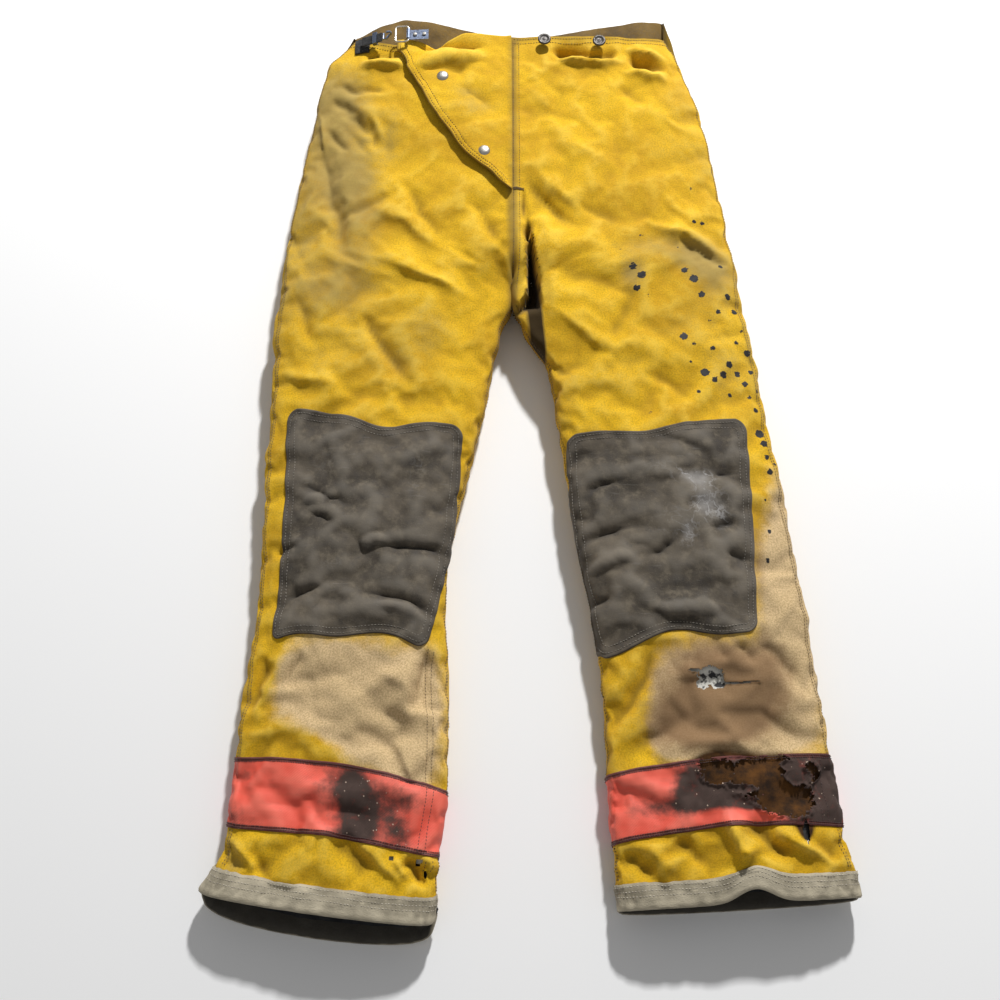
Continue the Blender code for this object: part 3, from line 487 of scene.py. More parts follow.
def build_surface():
    for side in SIDES:
        base = base_wall(side, TURNS[:, None], YS[None, :], IS_BACK[:, None])
        BASE[side] = base
        normal = half_normals(base, side)
        points = base.copy()
        for back, columns in ((False, slice(0, COLUMNS)), (True, slice(COLUMNS, None))):
            x, y = base[columns, :, 0], base[columns, :, 1]
            turn = np.broadcast_to(TURNS[columns, None], x.shape)
            height = relief(side, x, y, back, turn) + seam_relief(side, x, y, turn, back)
            points[columns] += normal[columns] * height[..., None]
        if side == LEFT:
            front = points[:COLUMNS]
            drop = WEDGE_DEPTH * crotch_wedge(front[..., 0], front[..., 1]) * WEDGE_ROWS
            front[..., 2] = np.maximum(front[..., 2] - drop, np.minimum(front[..., 2], WEDGE_FLOOR))
        points += settled(side, points)
        points[..., 2] = np.maximum(points[..., 2], 0.0)
        if side == LEFT:
            # The front of the left hem is pushed up into a hump.
            near = np.exp(-(((points[:COLUMNS, :, 0] - 0.248) / 0.024) ** 2)) * smooth((0.07 - YS) / 0.07)
            points[:COLUMNS, :, 1] += 0.014 * near
            points[:COLUMNS, :, 2] += 0.006 * near
        step = np.linalg.norm(np.diff(base, axis=0), axis=-1)
        step[COLUMNS - 1] = 0
        lay = np.concatenate([np.zeros((1, ROWS)), np.cumsum(step, axis=0)])
        LAY[side] = np.stack([side * (lay + 0.05), np.broadcast_to(YS, lay.shape)], axis=-1)
        SURFACE[side] = points
    for side in SIDES:
        NORMAL[side] = half_normals(SURFACE[side], side)
    rows = YS > CROTCH_Y + 0.02
    for column in (COLUMNS - 1, COLUMNS):
        shared = NORMAL[RIGHT][column, rows] + NORMAL[LEFT][column, rows]
        shared[:, 0] = 0
        shared /= np.maximum(np.linalg.norm(shared, axis=-1, keepdims=True), 1e-9)
        middle = (SURFACE[RIGHT][column, rows, 1:] + SURFACE[LEFT][column, rows, 1:]) / 2
        for side in SIDES:
            NORMAL[side][column, rows] = shared
            SURFACE[side][column, rows, 1:] = middle


build_surface()


def sample(field, turn, y, back=None):
    """Value of a grid field at turns and rows, between its points."""
    turn, y = np.broadcast_arrays(np.asarray(turn, float), np.asarray(y, float))
    if back is None:
        back = turn > 1
    u = np.where(back, COLUMNS + (turn - 1) * (COLUMNS - 1), turn * (COLUMNS - 1))
    u = np.clip(u, np.where(back, COLUMNS, 0), np.where(back, 2 * COLUMNS - 1, COLUMNS - 1) - 1e-4)
    v = y / WAIST_Y * (ROWS - 1)
    i, j = u.astype(int), np.clip(v, 0, ROWS - 1.001).astype(int)
    a, b = (u - i)[..., None], (v - j)[..., None]
    low = field[i, j] * (1 - a) + field[i + 1, j] * a
    high = field[i, j + 1] * (1 - a) + field[i + 1, j + 1] * a
    return low * (1 - b) + high * b


for side in SIDES:
    # Layers under the steep fold lie straight below it, so that they do not cross.
    place = SURFACE[side][:COLUMNS]
    beside = [crotch_wedge(place[..., 0] + aside, place[..., 1]) for aside in (-0.006, 0.0, 0.006)]
    steep = (np.max(beside, axis=0) * WEDGE_ROWS * (1.0 if side == LEFT else 0.0))[..., None]
    LIFT_WAY[side] = NORMAL[side].copy()
    LIFT_WAY[side][:COLUMNS] = NORMAL[side][:COLUMNS] * (1 - steep) + np.array((0.0, 0.0, 1.0)) * steep


def on_wall(side, turn, y, lift=0.0, back=None):
    """Places on the finished wall, in garment coordinates, lifted off it along its normal."""
    normal = sample(LIFT_WAY[side], turn, y, back)
    normal = normal / np.linalg.norm(normal, axis=-1, keepdims=True)
    return sample(SURFACE[side], turn, y, back) + normal * np.asarray(lift, float)[..., None]


# Stains on the front, as (X, Y, reach across, reach along, strength). A negative one leaves cloth clean.
SOOT = [
    (-0.2, 0.846, 0.034, 0.045, 0.55), (-0.198, 0.75, 0.036, 0.05, 0.5), (-0.178, 0.8, 0.034, 0.022, 0.4),
    (-0.228, 0.985, 0.045, 0.055, 0.9), (-0.225, 0.89, 0.05, 0.08, 0.8), (-0.262, 0.79, 0.026, 0.11, 0.4),
    (-0.282, 0.64, 0.012, 0.14, 0.22), (-0.2, 0.7, 0.08, 0.07, 0.22), (-0.16, 0.64, 0.08, 0.05, 0.15),
    (-0.1, 0.649, 0.028, 0.03, 0.35), (-0.135, 0.6, 0.045, 0.03, 0.3), (-0.15, 0.93, 0.02, 0.05, 0.3),
    (-0.05, 0.96, 0.03, 0.016, 0.45), (-0.06, 0.985, 0.022, 0.014, 0.35), (-0.23, 0.7, 0.04, 0.03, 0.4),
    (0.218, 0.99, 0.03, 0.05, 0.35), (0.19, 0.905, 0.05, 0.03, 0.25), (0.166, 0.76, 0.05, 0.022, 0.5),
    (0.225, 0.745, 0.04, 0.03, 0.75), (0.25, 0.72, 0.03, 0.04, 0.6), (0.12, 0.8, 0.04, 0.02, 0.22),
    (0.3, 0.69, 0.018, 0.12, 0.5), (0.248, 0.88, 0.024, 0.06, 0.3), (0.2, 0.66, 0.05, 0.04, 0.35),
    (0.12, 0.59, 0.06, 0.03, 0.25), (0.255, 0.59, 0.035, 0.05, 0.35), (-0.225, 0.6, 0.05, 0.03, 0.2),
    (0.145, 0.72, 0.016, 0.022, 0.8), (-0.075, 0.5, 0.014, 0.05, 0.25), (0.11, 0.13, 0.02, 0.02, 0.3),
    (-0.295, 0.03, 0.012, 0.03, 0.5), (0.06, 0.56, 0.016, 0.06, 0.25),
]
TAN = [
    (-0.19, 0.222, 0.085, 0.046, 1.5), (-0.15, 0.17, 0.06, 0.036, 1.1), (-0.112, 0.13, 0.03, 0.028, 0.9),
    (-0.105, 0.215, 0.018, 0.05, 0.7), (-0.275, 0.25, 0.016, 0.05, -0.8), (-0.245, 0.15, 0.05, 0.016, -0.8),
    (0.215, 0.218, 0.076, 0.046, 1.5), (0.25, 0.165, 0.07, 0.03, 1.2), (0.175, 0.165, 0.034, 0.026, 0.7),
    (0.3, 0.32, 0.03, 0.085, 1.1), (0.308, 0.42, 0.02, 0.06, 0.6), (0.325, 0.24, 0.024, 0.06, 0.7),
    (0.13, 0.225, 0.022, 0.05, -0.7), (0.124, 0.16, 0.026, 0.018, -0.6),
]
BROWN = [
    (0.22, 0.24, 0.066, 0.034, 0.95), (0.205, 0.18, 0.06, 0.03, 1.2), (0.245, 0.196, 0.06, 0.028, 0.9),
    (0.285, 0.245, 0.022, 0.03, 0.35), (-0.16, 0.16, 0.04, 0.01, 0.25), (0.275, 0.375, 0.01, 0.08, 0.5),
]
SCORCH = [
    (0.216, 0.122, 0.03, 0.022, 2.2), (0.262, 0.112, 0.04, 0.026, 2.4), (0.305, 0.11, 0.032, 0.026, 2.4),
    (0.214, 0.228, 0.02, 0.014, 0.55), (0.25, 0.223, 0.024, 0.005, 0.5), (0.305, 0.068, 0.008, 0.012, 0.9),
]
CHAR = [
    (-0.171, 0.108, 0.019, 0.03, 1.15), (-0.167, 0.072, 0.018, 0.024, 1.15),
    (-0.138, 0.09, 0.026, 0.03, 0.65), (-0.2, 0.112, 0.02, 0.014, 0.4), (-0.122, 0.062, 0.016, 0.018, 0.55),
    (-0.112, 0.098, 0.014, 0.01, 0.4), (-0.19, 0.062, 0.016, 0.01, 0.3), (-0.29, 0.125, 0.016, 0.006, 0.5),
    (-0.298, 0.082, 0.01, 0.02, 0.5), (0.188, 0.108, 0.026, 0.034, 1.2), (0.15, 0.09, 0.03, 0.01, 0.5),
    (0.225, 0.112, 0.036, 0.018, 1.4), (0.162, 0.06, 0.022, 0.01, 0.6), (0.28, 0.112, 0.05, 0.045, 2.4),
    (0.338, 0.11, 0.014, 0.05, 1.6), (0.215, 0.08, 0.045, 0.01, -0.9), (0.16, 0.122, 0.016, 0.02, -0.5),
    (0.262, 0.082, 0.03, 0.008, -1.4),
]
SCUFF = [
    (0.208, 0.458, 0.022, 0.01, 0.9), (0.216, 0.432, 0.012, 0.022, 0.9), (0.236, 0.42, 0.016, 0.026, 0.55),
    (0.18, 0.405, 0.04, 0.03, 0.35), (0.196, 0.392, 0.008, 0.016, 0.6), (0.17, 0.47, 0.04, 0.014, 0.35),
    (-0.17, 0.43, 0.05, 0.05, 0.22), (-0.222, 0.48, 0.03, 0.03, 0.25), (-0.11, 0.47, 0.016, 0.05, 0.3),
    (-0.2, 0.355, 0.04, 0.014, 0.28), (0.11, 0.42, 0.02, 0.05, 0.22), (0.24, 0.33, 0.03, 0.02, 0.25),
]
STAINS = {"soot": SOOT, "tan": TAN, "brown": BROWN, "scorch": SCORCH, "char": CHAR, "scuff": SCUFF}
# Spots of tar: (X, Y, radius), and how far their edges reach.
TAR_FADE = 0.004
TAR = [
    (0.146, 0.731, 0.0052), (0.156, 0.719, 0.0057), (0.15, 0.702, 0.0046), (0.164, 0.692, 0.0023),
    (0.209, 0.727, 0.0046), (0.22, 0.716, 0.0057), (0.229, 0.696, 0.0046), (0.224, 0.849, 0.0023),
    (0.225, 0.798, 0.0029), (0.236, 0.798, 0.0029), (0.158, 0.776, 0.0023), (0.255, 0.737, 0.0034),
    (0.261, 0.695, 0.004), (0.248, 0.673, 0.0034), (0.269, 0.677, 0.004), (0.204, 0.638, 0.0052),
    (0.215, 0.628, 0.0029), (0.238, 0.623, 0.0034), (0.227, 0.592, 0.0057), (0.238, 0.582, 0.004),
    (0.249, 0.59, 0.0046), (0.257, 0.603, 0.0046), (0.267, 0.593, 0.004), (0.275, 0.58, 0.004),
    (0.281, 0.622, 0.0046), (0.268, 0.634, 0.0029), (0.284, 0.597, 0.0034), (0.28, 0.564, 0.0029),
    (0.286, 0.547, 0.0034), (0.289, 0.518, 0.0057), (0.293, 0.505, 0.0046), (0.295, 0.488, 0.0034),
    (0.297, 0.469, 0.004), (0.304, 0.48, 0.0023), (0.276, 0.651, 0.0023), (0.218, 0.567, 0.0029),
    (0.211, 0.605, 0.0023), (0.171, 0.737, 0.0021), (0.186, 0.692, 0.0018), (0.256, 0.565, 0.0029),
    (0.132, 0.755, 0.0017), (0.202, 0.759, 0.0021), (0.237, 0.662, 0.0023), (0.29, 0.572, 0.0023),
    (0.288, 0.433, 0.0023), (0.291, 0.397, 0.0029), (0.286, 0.362, 0.0029), (0.16, 0.54, 0.0018),
    (0.119, 0.631, 0.0016), (0.169, 0.611, 0.0015),
]
BACK_SOOT = [
    (-0.18, 0.86, 0.09, 0.1, 0.6), (0.16, 0.9, 0.1, 0.08, 0.5), (-0.18, 0.45, 0.07, 0.12, 0.45),
    (0.22, 0.4, 0.07, 0.14, 0.45), (0.22, 0.1, 0.09, 0.08, 0.6), (-0.2, 0.08, 0.09, 0.07, 0.7),
    (0.0, 0.8, 0.05, 0.1, 0.4),
]

# Holes, as ovals (X, Y, half width, half height): the cloth is gone inside them, but for the islands,
# whose last number is how sharply they end.
TEAR = [
    (0.214, 0.231, 0.015, 0.01), (0.205, 0.222, 0.007, 0.006), (0.222, 0.222, 0.008, 0.006),
    (0.196, 0.2365, 0.007, 0.0018), (0.24, 0.2225, 0.016, 0.0013), (0.258, 0.224, 0.01, 0.0008),
]
HEM_TEARS = [
    (-0.128, 0.041, 0.005, 0.002), (-0.101, 0.036, 0.0042, 0.0026), (-0.094, 0.024, 0.0016, 0.004),
]
SLIT = [(0.305, 0.066, 0.0036, 0.0110)]
BURNS = [
    (0.216, 0.128, 0.019, 0.013), (0.204, 0.137, 0.009, 0.006), (0.258, 0.122, 0.03, 0.022),
    (0.292, 0.1, 0.025, 0.02), (0.316, 0.128, 0.009, 0.01), (0.278, 0.14, 0.014, 0.006),
    (0.275, 0.098, 0.02, 0.014), (0.305, 0.07, 0.0034, 0.008),
]
ISLANDS = [
    (0.3, 0.124, 0.015, 0.009, 1.5), (0.292, 0.134, 0.01, 0.006, 1.2), (0.236, 0.11, 0.02, 0.005, 0.9),
]


def stained(x, y, stains):
    """Sum of the stains of one kind at places."""
    return sum(s * np.exp(-(((x - cx) / rx) ** 2 + ((y - cy) / ry) ** 2)) for cx, cy, rx, ry, s in stains)


def hollow(x, y, ovals, islands=()):
    """Above 0 inside ragged holes."""
    deepest = np.full(np.shape(x), -9.0)
    for cx, cy, rx, ry in ovals:
        deepest = np.maximum(deepest, 1 - ((x - cx) / rx) ** 2 - ((y - cy) / ry) ** 2)
    for cx, cy, rx, ry, s in islands:
        deepest = np.minimum(deepest, s * (((x - cx) / rx) ** 2 + ((y - cy) / ry) ** 2 - 1))
    ragged = 0.40 * noise(x / 0.0045, y / 0.0045, 61) + 0.30 * noise(x / 0.0018, y / 0.0018, 62)
    return deepest + ragged * np.clip(1 + deepest, 0, 1)


class Look:
    """A node material being built up."""

    def __init__(self, name, roughness=0.8, **constants):
        self.material = bpy.data.materials.new(name)
        self.material.use_nodes = True
        self.tree = self.material.node_tree
        self.shader = self.tree.nodes["Principled BSDF"]
        self.feed(self.shader.inputs["Roughness"], roughness)
        for key, value in constants.items():
            self.shader.inputs[key.replace("_", " ")].default_value = value

    def feed(self, socket, value):
        if isinstance(value, bpy.types.NodeSocket):
            self.tree.links.new(value, socket)
        else:
            if socket.type == "RGBA" and len(value) == 3:
                value = (*value, 1.0)
            socket.default_value = value

    def node(self, kind, inputs=None, output=0, **settings):
        made = self.tree.nodes.new(kind)
        for key, value in settings.items():
            setattr(made, key, value)
        for key, value in (inputs or {}).items():
            self.feed(made.inputs[key], value)
        return made.outputs[output]

    def attribute(self, name):
        return self.node("ShaderNodeAttribute", output="Fac", attribute_name=name)

    def place(self, stretch=(1, 1, 1), spin=0.0):
        """Place on the cloth, in metres, from its stored layout."""
        where = self.node("ShaderNodeAttribute", output="Vector", attribute_name="lay")
        return self.node("ShaderNodeMapping", {"Vector": where, "Scale": stretch, "Rotation": (0, 0, spin)})

    def solid_place(self):
        return self.node("ShaderNodeTexCoord", output="Object")

    def math(self, operation, a, b=0.0, clamp=False):
        return self.node("ShaderNodeMath", {0: a, 1: b}, operation=operation, use_clamp=clamp)

    def swing(self, value, size):
        """A value about 0.5 as a swing about zero."""
        return self.math("MULTIPLY", self.math("SUBTRACT", value, 0.5), size)

    def band(self, value, low, high, to_low=0.0, to_high=1.0):
        inputs = {"Value": value, "From Min": low, "From Max": high, "To Min": to_low, "To Max": to_high}
        return self.node("ShaderNodeMapRange", inputs, interpolation_type="SMOOTHSTEP")

    def noise(self, vector, scale, detail=3.0, roughness=0.55, distortion=0.0):
        return self.node("ShaderNodeTexNoise", {"Vector": vector, "Scale": scale, "Detail": detail,
                                                "Roughness": roughness, "Distortion": distortion})

    def mix(self, factor, a, b, blend="MIX"):
        made = self.tree.nodes.new("ShaderNodeMix")
        made.data_type, made.blend_type = "RGBA", blend
        for socket, value in ((made.inputs[0], factor), (made.inputs[6], a), (made.inputs[7], b)):
            self.feed(socket, value)
        return made.outputs[2]

    def weave(self, vector, pitch):
        """Twill lines of that pitch, broken up by their threads."""
        inputs = {"Vector": vector, "Scale": 0.314 / pitch, "Distortion": 1.2, "Detail": 2.0,
                  "Detail Scale": 2.0}
        lines = self.node("ShaderNodeTexWave", inputs, bands_direction="DIAGONAL")
        threads = self.noise(vector, 0.9 / pitch, 2.0)
        return self.math("ADD", self.math("MULTIPLY", lines, 0.6), self.math("MULTIPLY", threads, 0.7))

    def bump(self, height, distance, strength=1.0):
        bumped = self.node("ShaderNodeBump", {"Height": height, "Distance": distance, "Strength": strength})
        self.feed(self.shader.inputs["Normal"], bumped)

    def finish(self, colour, roughness=None):
        self.feed(self.shader.inputs["Base Color"], colour)
        if roughness is not None:
            self.feed(self.shader.inputs["Roughness"], roughness)
        return self.material


def canvas_look(name, clean=(0.77, 0.455, 0.010), deep=(0.58, 0.32, 0.008)):
    look = Look(name, Sheen_Weight=0.05, Sheen_Roughness=0.6, Specular_IOR_Level=0.15)
    where = look.place()
    broad, mottle = look.noise(where, 9.0, 4.0), look.noise(where, 60.0, 4.0, 0.65)
    fibre = look.noise(look.place((260, 900, 1)), 1.0, 2.0)
    weave, speckle = look.weave(where, 0.0012), look.noise(where, 520.0, 3.0, 0.7)
    colour = look.mix(look.band(broad, 0.35, 0.65), deep, clean)
    colour = look.mix(look.band(mottle, 0.35, 0.75, 0.0, 0.35), colour, (0.80, 0.52, 0.03))
    colour = look.mix(look.band(speckle, 0.60, 0.36, 0.0, 0.55), colour, (0.36, 0.21, 0.008))
    colour = look.mix(look.band(fibre, 0.55, 0.85, 0.0, 0.45), colour, (0.84, 0.57, 0.07))
    # Painted highlight and wear: cloth standing proud of its surroundings, on fold crests, is lightened.
    worn = look.math("MULTIPLY", look.attribute("crest"), look.band(mottle, 0.30, 0.60))
    colour = look.mix(look.math("MULTIPLY", worn, 0.34), colour, (0.90, 0.63, 0.10))
    # Painted shade: cloth lying below its surroundings, in creases and hollows, is darkened.
    colour = look.mix(look.math("MULTIPLY", look.attribute("sunk"), 0.68), colour, (0.15, 0.088, 0.010))
    cloud = look.math("ADD", look.math("MULTIPLY", broad, 0.5), look.math("MULTIPLY", mottle, 0.5))
    shift = look.swing(cloud, 1.3)

    def stain(attribute, low, high, top, strength=1.0):
        depth = look.attribute(attribute)
        spread = look.math("ADD", depth, look.math("MULTIPLY", shift, look.band(depth, 0.0, 0.3)))
        return look.band(spread, low, high, 0.0, top * strength)

    colour = look.mix(stain("tan", 0.10, 0.75, 0.96), colour,
                      look.mix(look.band(speckle, 0.35, 0.65), (0.44, 0.31, 0.155), (0.67, 0.50, 0.29)))
    colour = look.mix(stain("brown", 0.05, 0.90, 0.85), colour, (0.19, 0.105, 0.05))
    colour = look.mix(stain("soot", 0.05, 1.00, 0.80), colour,
                      look.mix(mottle, (0.20, 0.148, 0.052), (0.36, 0.270, 0.100)))
    # Grime darkens the cloth; where the mask passes 1, in the fold beside the crotch, it paints near-black
    # shade.
    colour = look.mix(stain("grime", 0.0, 1.0, 0.75), colour, (0.17, 0.11, 0.03))
    colour = look.mix(look.band(look.attribute("grime"), 0.95, 1.6, 0.0, 0.94), colour, (0.026, 0.015, 0.005))
    scorch = look.band(look.attribute("scorch"), 0.25, 0.7)
    colour = look.mix(scorch, colour,
                      look.mix(look.band(mottle, 0.3, 0.7), (0.022, 0.010, 0.004), (0.11, 0.045, 0.010)))
    ragged = look.math("ADD", look.attribute("tar"), look.swing(look.noise(where, 330.0, 3.0), 1.1))
    tar = look.band(ragged, -0.02, 0.10)
    colour = look.mix(tar, colour, (0.022, 0.021, 0.022))
    flecks = look.band(look.noise(where, 420.0, 2.0, 0.7), 0.70, 0.76)
    colour = look.mix(look.math("MULTIPLY", flecks, 0.5), colour, (0.10, 0.06, 0.01))
    # Painted shade: the cloth's inner skin, seen inside the hems, the waist and under the flap, is painted
    # near-black.
    colour = look.mix(look.math("MULTIPLY", look.attribute("inner"), 0.85), colour, (0.045, 0.028, 0.010))
    height = look.math("ADD", look.math("MULTIPLY", weave, 0.30), look.math("MULTIPLY", mottle, 0.8))
    height = look.math("ADD", height, look.math("MULTIPLY", speckle, 0.5))
    look.bump(look.math("ADD", height, look.math("MULTIPLY", tar, 0.5)), 0.0006, 0.8)
    roughness = look.band(mottle, 0.3, 0.7, 0.82, 0.96)
    roughness = look.math("SUBTRACT", roughness, look.math("MULTIPLY", tar, 0.35))
    return look.finish(colour, roughness)


def suede_look(name):
    look = Look(name, Sheen_Weight=0.06, Sheen_Roughness=0.5)
    where = look.place()
    broad, mottle = look.noise(where, 12.0, 4.0), look.noise(where, 70.0, 4.0, 0.65)
    nap = look.noise(where, 700.0, 3.0, 0.7)
    colour = look.mix(look.band(broad, 0.32, 0.68), (0.040, 0.031, 0.021), (0.098, 0.078, 0.054))
    colour = look.mix(look.band(mottle, 0.45, 0.72, 0.0, 0.75), colour, (0.160, 0.132, 0.094))
    colour = look.mix(look.band(mottle, 0.46, 0.28, 0.0, 0.65), colour, (0.026, 0.020, 0.015))
    colour = look.mix(look.band(nap, 0.56, 0.74, 0.0, 0.55), colour, (0.19, 0.165, 0.125))
    scratches = look.noise(look.place((30, 240, 1), 0.5), 1.0, 3.0)
    colour = look.mix(look.band(scratches, 0.64, 0.72, 0.0, 0.20), colour, (0.24, 0.22, 0.20))
    crackle = look.math("ABSOLUTE", look.math("SUBTRACT", look.noise(where, 46.0, 4.0, 0.6, 0.4), 0.5))
    veins = look.math("MULTIPLY", look.band(crackle, 0.045, 0.0),
                      look.band(look.attribute("scuff"), 0.15, 0.8))
    worn = look.math("ADD", look.attribute("scuff"), look.math("SUBTRACT", mottle, 0.72))
    worn = look.band(worn, 0.10, 0.90, 0.0, 0.5)
    worn = look.math("MAXIMUM", worn, look.math("MULTIPLY", veins, 0.75))
    colour = look.mix(worn, colour, (0.34, 0.33, 0.32))
    # Painted highlight and wear on fold crests, and painted shade in creases.
    colour = look.mix(look.math("MULTIPLY", look.attribute("crest"), 0.45), colour, (0.20, 0.175, 0.14))
    colour = look.mix(look.math("MULTIPLY", look.attribute("sunk"), 0.75), colour, (0.012, 0.009, 0.007))
    colour = look.mix(look.math("MULTIPLY", look.attribute("rim"), 0.55), colour, (0.030, 0.024, 0.020))
    height = look.math("ADD", look.math("MULTIPLY", nap, 0.5), mottle)
    look.bump(height, 0.0007, 0.7)
    return look.finish(colour, look.band(mottle, 0.3, 0.7, 0.78, 0.95))


def trim_look(name):
    look = Look(name)
    where = look.place()
    broad, mottle = look.noise(where, 25.0, 4.0), look.noise(where, 120.0, 4.0, 0.65)
    colour = look.mix(look.band(broad, 0.30, 0.70), (0.77, 0.085, 0.048), (0.85, 0.135, 0.085))
    dusty = look.noise(look.place((60, 160, 1)), 1.0, 3.0)
    colour = look.mix(look.band(dusty, 0.50, 0.75, 0.0, 0.30), colour, (0.52, 0.090, 0.055))
    # Painted highlight and wear: fold crests are lightened.
    colour = look.mix(look.math("MULTIPLY", look.attribute("crest"), 0.35), colour, (0.88, 0.23, 0.16))
    burnt = look.math("ADD", look.attribute("char"), look.swing(mottle, 0.9))
    burnt = look.math("ADD", burnt, look.swing(broad, 0.8))
    depth = look.band(burnt, 0.05, 0.95)
    colour = look.mix(depth, colour, look.mix(mottle, (0.026, 0.017, 0.013), (0.085, 0.050, 0.040)))
    specks = look.node("ShaderNodeTexVoronoi", {"Vector": where, "Scale": 190.0}, output="Distance")
    rare = look.band(look.noise(where, 150.0, 1.0), 0.44, 0.56)
    speck = look.math("MULTIPLY", look.band(specks, 0.16, 0.10), rare)
    speck = look.math("MULTIPLY", speck, look.band(depth, 0.3, 0.8))
    colour = look.mix(look.math("MULTIPLY", speck, 0.85), colour, (0.62, 0.47, 0.36))
    rim = look.math("ADD", look.attribute("rim"), look.swing(mottle, 0.7))
    colour = look.mix(look.band(rim, 0.35, 0.75, 0.0, 0.92), colour, (0.085, 0.022, 0.018))
    look.bump(look.math("ADD", look.weave(where, 0.0014), look.math("MULTIPLY", mottle, depth)), 0.0004, 0.6)
    return look.finish(colour, look.band(depth, 0.0, 1.0, 0.62, 0.95))


def leather_look(name, dark, light, scale=1.0, shade=0.92):
    look = Look(name)
    where = look.place()
    broad, mottle = look.noise(where, 30.0, 4.0), look.noise(where, 160.0 * scale, 4.0, 0.7)
    grain = look.node("ShaderNodeTexVoronoi", {"Vector": where, "Scale": 900.0 * scale}, output="Distance")
    colour = look.mix(look.band(broad, 0.3, 0.7), dark, light)
    colour = look.mix(look.band(mottle, 0.5, 0.8, 0.0, 0.5), colour, tuple(min(1.0, 1.7 * c) for c in light))
    colour = look.mix(look.band(mottle, 0.45, 0.2, 0.0, 0.6), colour, tuple(0.5 * c for c in dark))
    # Lighter where "crest" is high: on the cuffs, wear along the folded edge; on the waist facing, painted
    # highlight and wear on fold crests.
    colour = look.mix(look.math("MULTIPLY", look.attribute("crest"), 0.4), colour,
                      tuple(min(1.0, 2.0 * c) for c in light))
    # Painted shade: inner faces are painted near-black, by the share given as shade.
    colour = look.mix(look.math("MULTIPLY", look.attribute("inner"), shade), colour, (0.014, 0.012, 0.010))
    look.bump(look.math("ADD", mottle, look.math("MULTIPLY", grain, 0.5)), 0.0006, 0.7)
    return look.finish(colour, look.band(mottle, 0.3, 0.7, 0.75, 0.95))


def lining_look(name, dark, light, quilted=False):
    look = Look(name)
    where = look.place()
    mottle = look.noise(where, 90.0, 4.0, 0.65)
    colour = look.mix(look.band(mottle, 0.35, 0.70), dark, light)
    burnt = look.math("ADD", look.attribute("scorch"), look.swing(look.noise(where, 110.0, 3.0), 1.6))
    colour = look.mix(look.band(burnt, 0.45, 0.62), colour, (0.012, 0.011, 0.012))
    height = mottle
    if quilted:
        ribs = [look.node("ShaderNodeTexWave", {"Vector": look.place((1, 1, 1), spin), "Scale": 14.0})
                for spin in (0.785, -0.785)]
        height = look.math("ADD", look.math("MINIMUM", *ribs), look.math("MULTIPLY", mottle, 0.15))
    look.bump(height, 0.0020 if quilted else 0.0004, 0.7)
    return look.finish(colour, 0.9 if quilted else look.band(mottle, 0.3, 0.7, 0.45, 0.7))


def thread_look(name, light, dark):
    look = Look(name, 0.75, Sheen_Weight=0.2)
    where = look.solid_place()
    mottle = look.noise(where, 90.0, 3.0)
    twist = look.noise(where, 2500.0, 2.0)
    colour = look.mix(look.band(mottle, 0.35, 0.65), dark, light)
    look.bump(twist, 0.0002, 0.6)
    return look.finish(look.mix(look.band(twist, 0.3, 0.7, 0.0, 0.4), colour, tuple(0.5 * c for c in dark)))


def metal_look(name, bright, tarnish, roughness):
    look = Look(name, Metallic=1.0)
    where = look.solid_place()
    mottle, fine = look.noise(where, 260.0, 4.0, 0.7), look.noise(where, 1600.0, 3.0, 0.7)
    stretched = look.node("ShaderNodeMapping", {"Vector": where, "Scale": (300, 3000, 700)})
    scratches = look.noise(stretched, 1.0, 2.0)
    colour = look.mix(look.band(mottle, 0.48, 0.72), bright, tarnish)
    look.bump(look.math("ADD", scratches, look.math("MULTIPLY", fine, 0.6)), 0.00012, 0.5)
    return look.finish(colour, look.band(mottle, 0.35, 0.75, roughness, min(0.9, roughness + 0.35)))


def webbing_look(name):
    look = Look(name)
    where = look.solid_place()
    inputs = {"Vector": where, "Scale": 260.0, "Distortion": 1.0}
    ribs = look.node("ShaderNodeTexWave", inputs, bands_direction="Y")
    mottle = look.noise(where, 240.0, 3.0)
    colour = look.mix(look.band(mottle, 0.4, 0.7), (0.008, 0.008, 0.009), (0.035, 0.034, 0.034))
    look.bump(look.math("ADD", ribs, look.math("MULTIPLY", mottle, 0.5)), 0.0004, 0.8)
    return look.finish(look.mix(look.band(ribs, 0.6, 1.0, 0.0, 0.3), colour, (0.07, 0.068, 0.065)), 0.85)


CANVAS = canvas_look("canvas")
# Painted shade: a darker copy of the canvas, for the fly facing that lies in shade behind the flap.
CANVAS_SHADED = canvas_look("canvas_inside", (0.42, 0.26, 0.05), (0.30, 0.18, 0.03))
SUEDE = suede_look("suede")
TRIM = trim_look("trim")
CUFF = leather_look("cuff_leather", (0.23, 0.200, 0.142), (0.42, 0.370, 0.270))
MEMBRANE = lining_look("membrane", (0.62, 0.60, 0.54), (0.80, 0.78, 0.70))
QUILT = lining_look("quilt", (0.012, 0.012, 0.014), (0.030, 0.030, 0.033), quilted=True)
WAIST_CLOTH = leather_look("waist_cloth", (0.15, 0.085, 0.016), (0.30, 0.175, 0.030), 2.0, 0.35)
THREAD_TAN = thread_look("thread_tan", (0.24, 0.145, 0.035), (0.10, 0.06, 0.02))
THREAD_PALE = thread_look("thread_pale", (0.36, 0.32, 0.26), (0.17, 0.15, 0.12))
THREAD_DARK = thread_look("thread_dark", (0.10, 0.035, 0.030), (0.035, 0.015, 0.013))
THREAD_GREY = thread_look("thread_grey", (0.72, 0.66, 0.54), (0.42, 0.37, 0.29))
NICKEL = metal_look("nickel_worn", (0.56, 0.53, 0.48), (0.22, 0.20, 0.16), 0.28)
PEWTER = metal_look("pewter", (0.105, 0.098, 0.092), (0.035, 0.032, 0.030), 0.45)
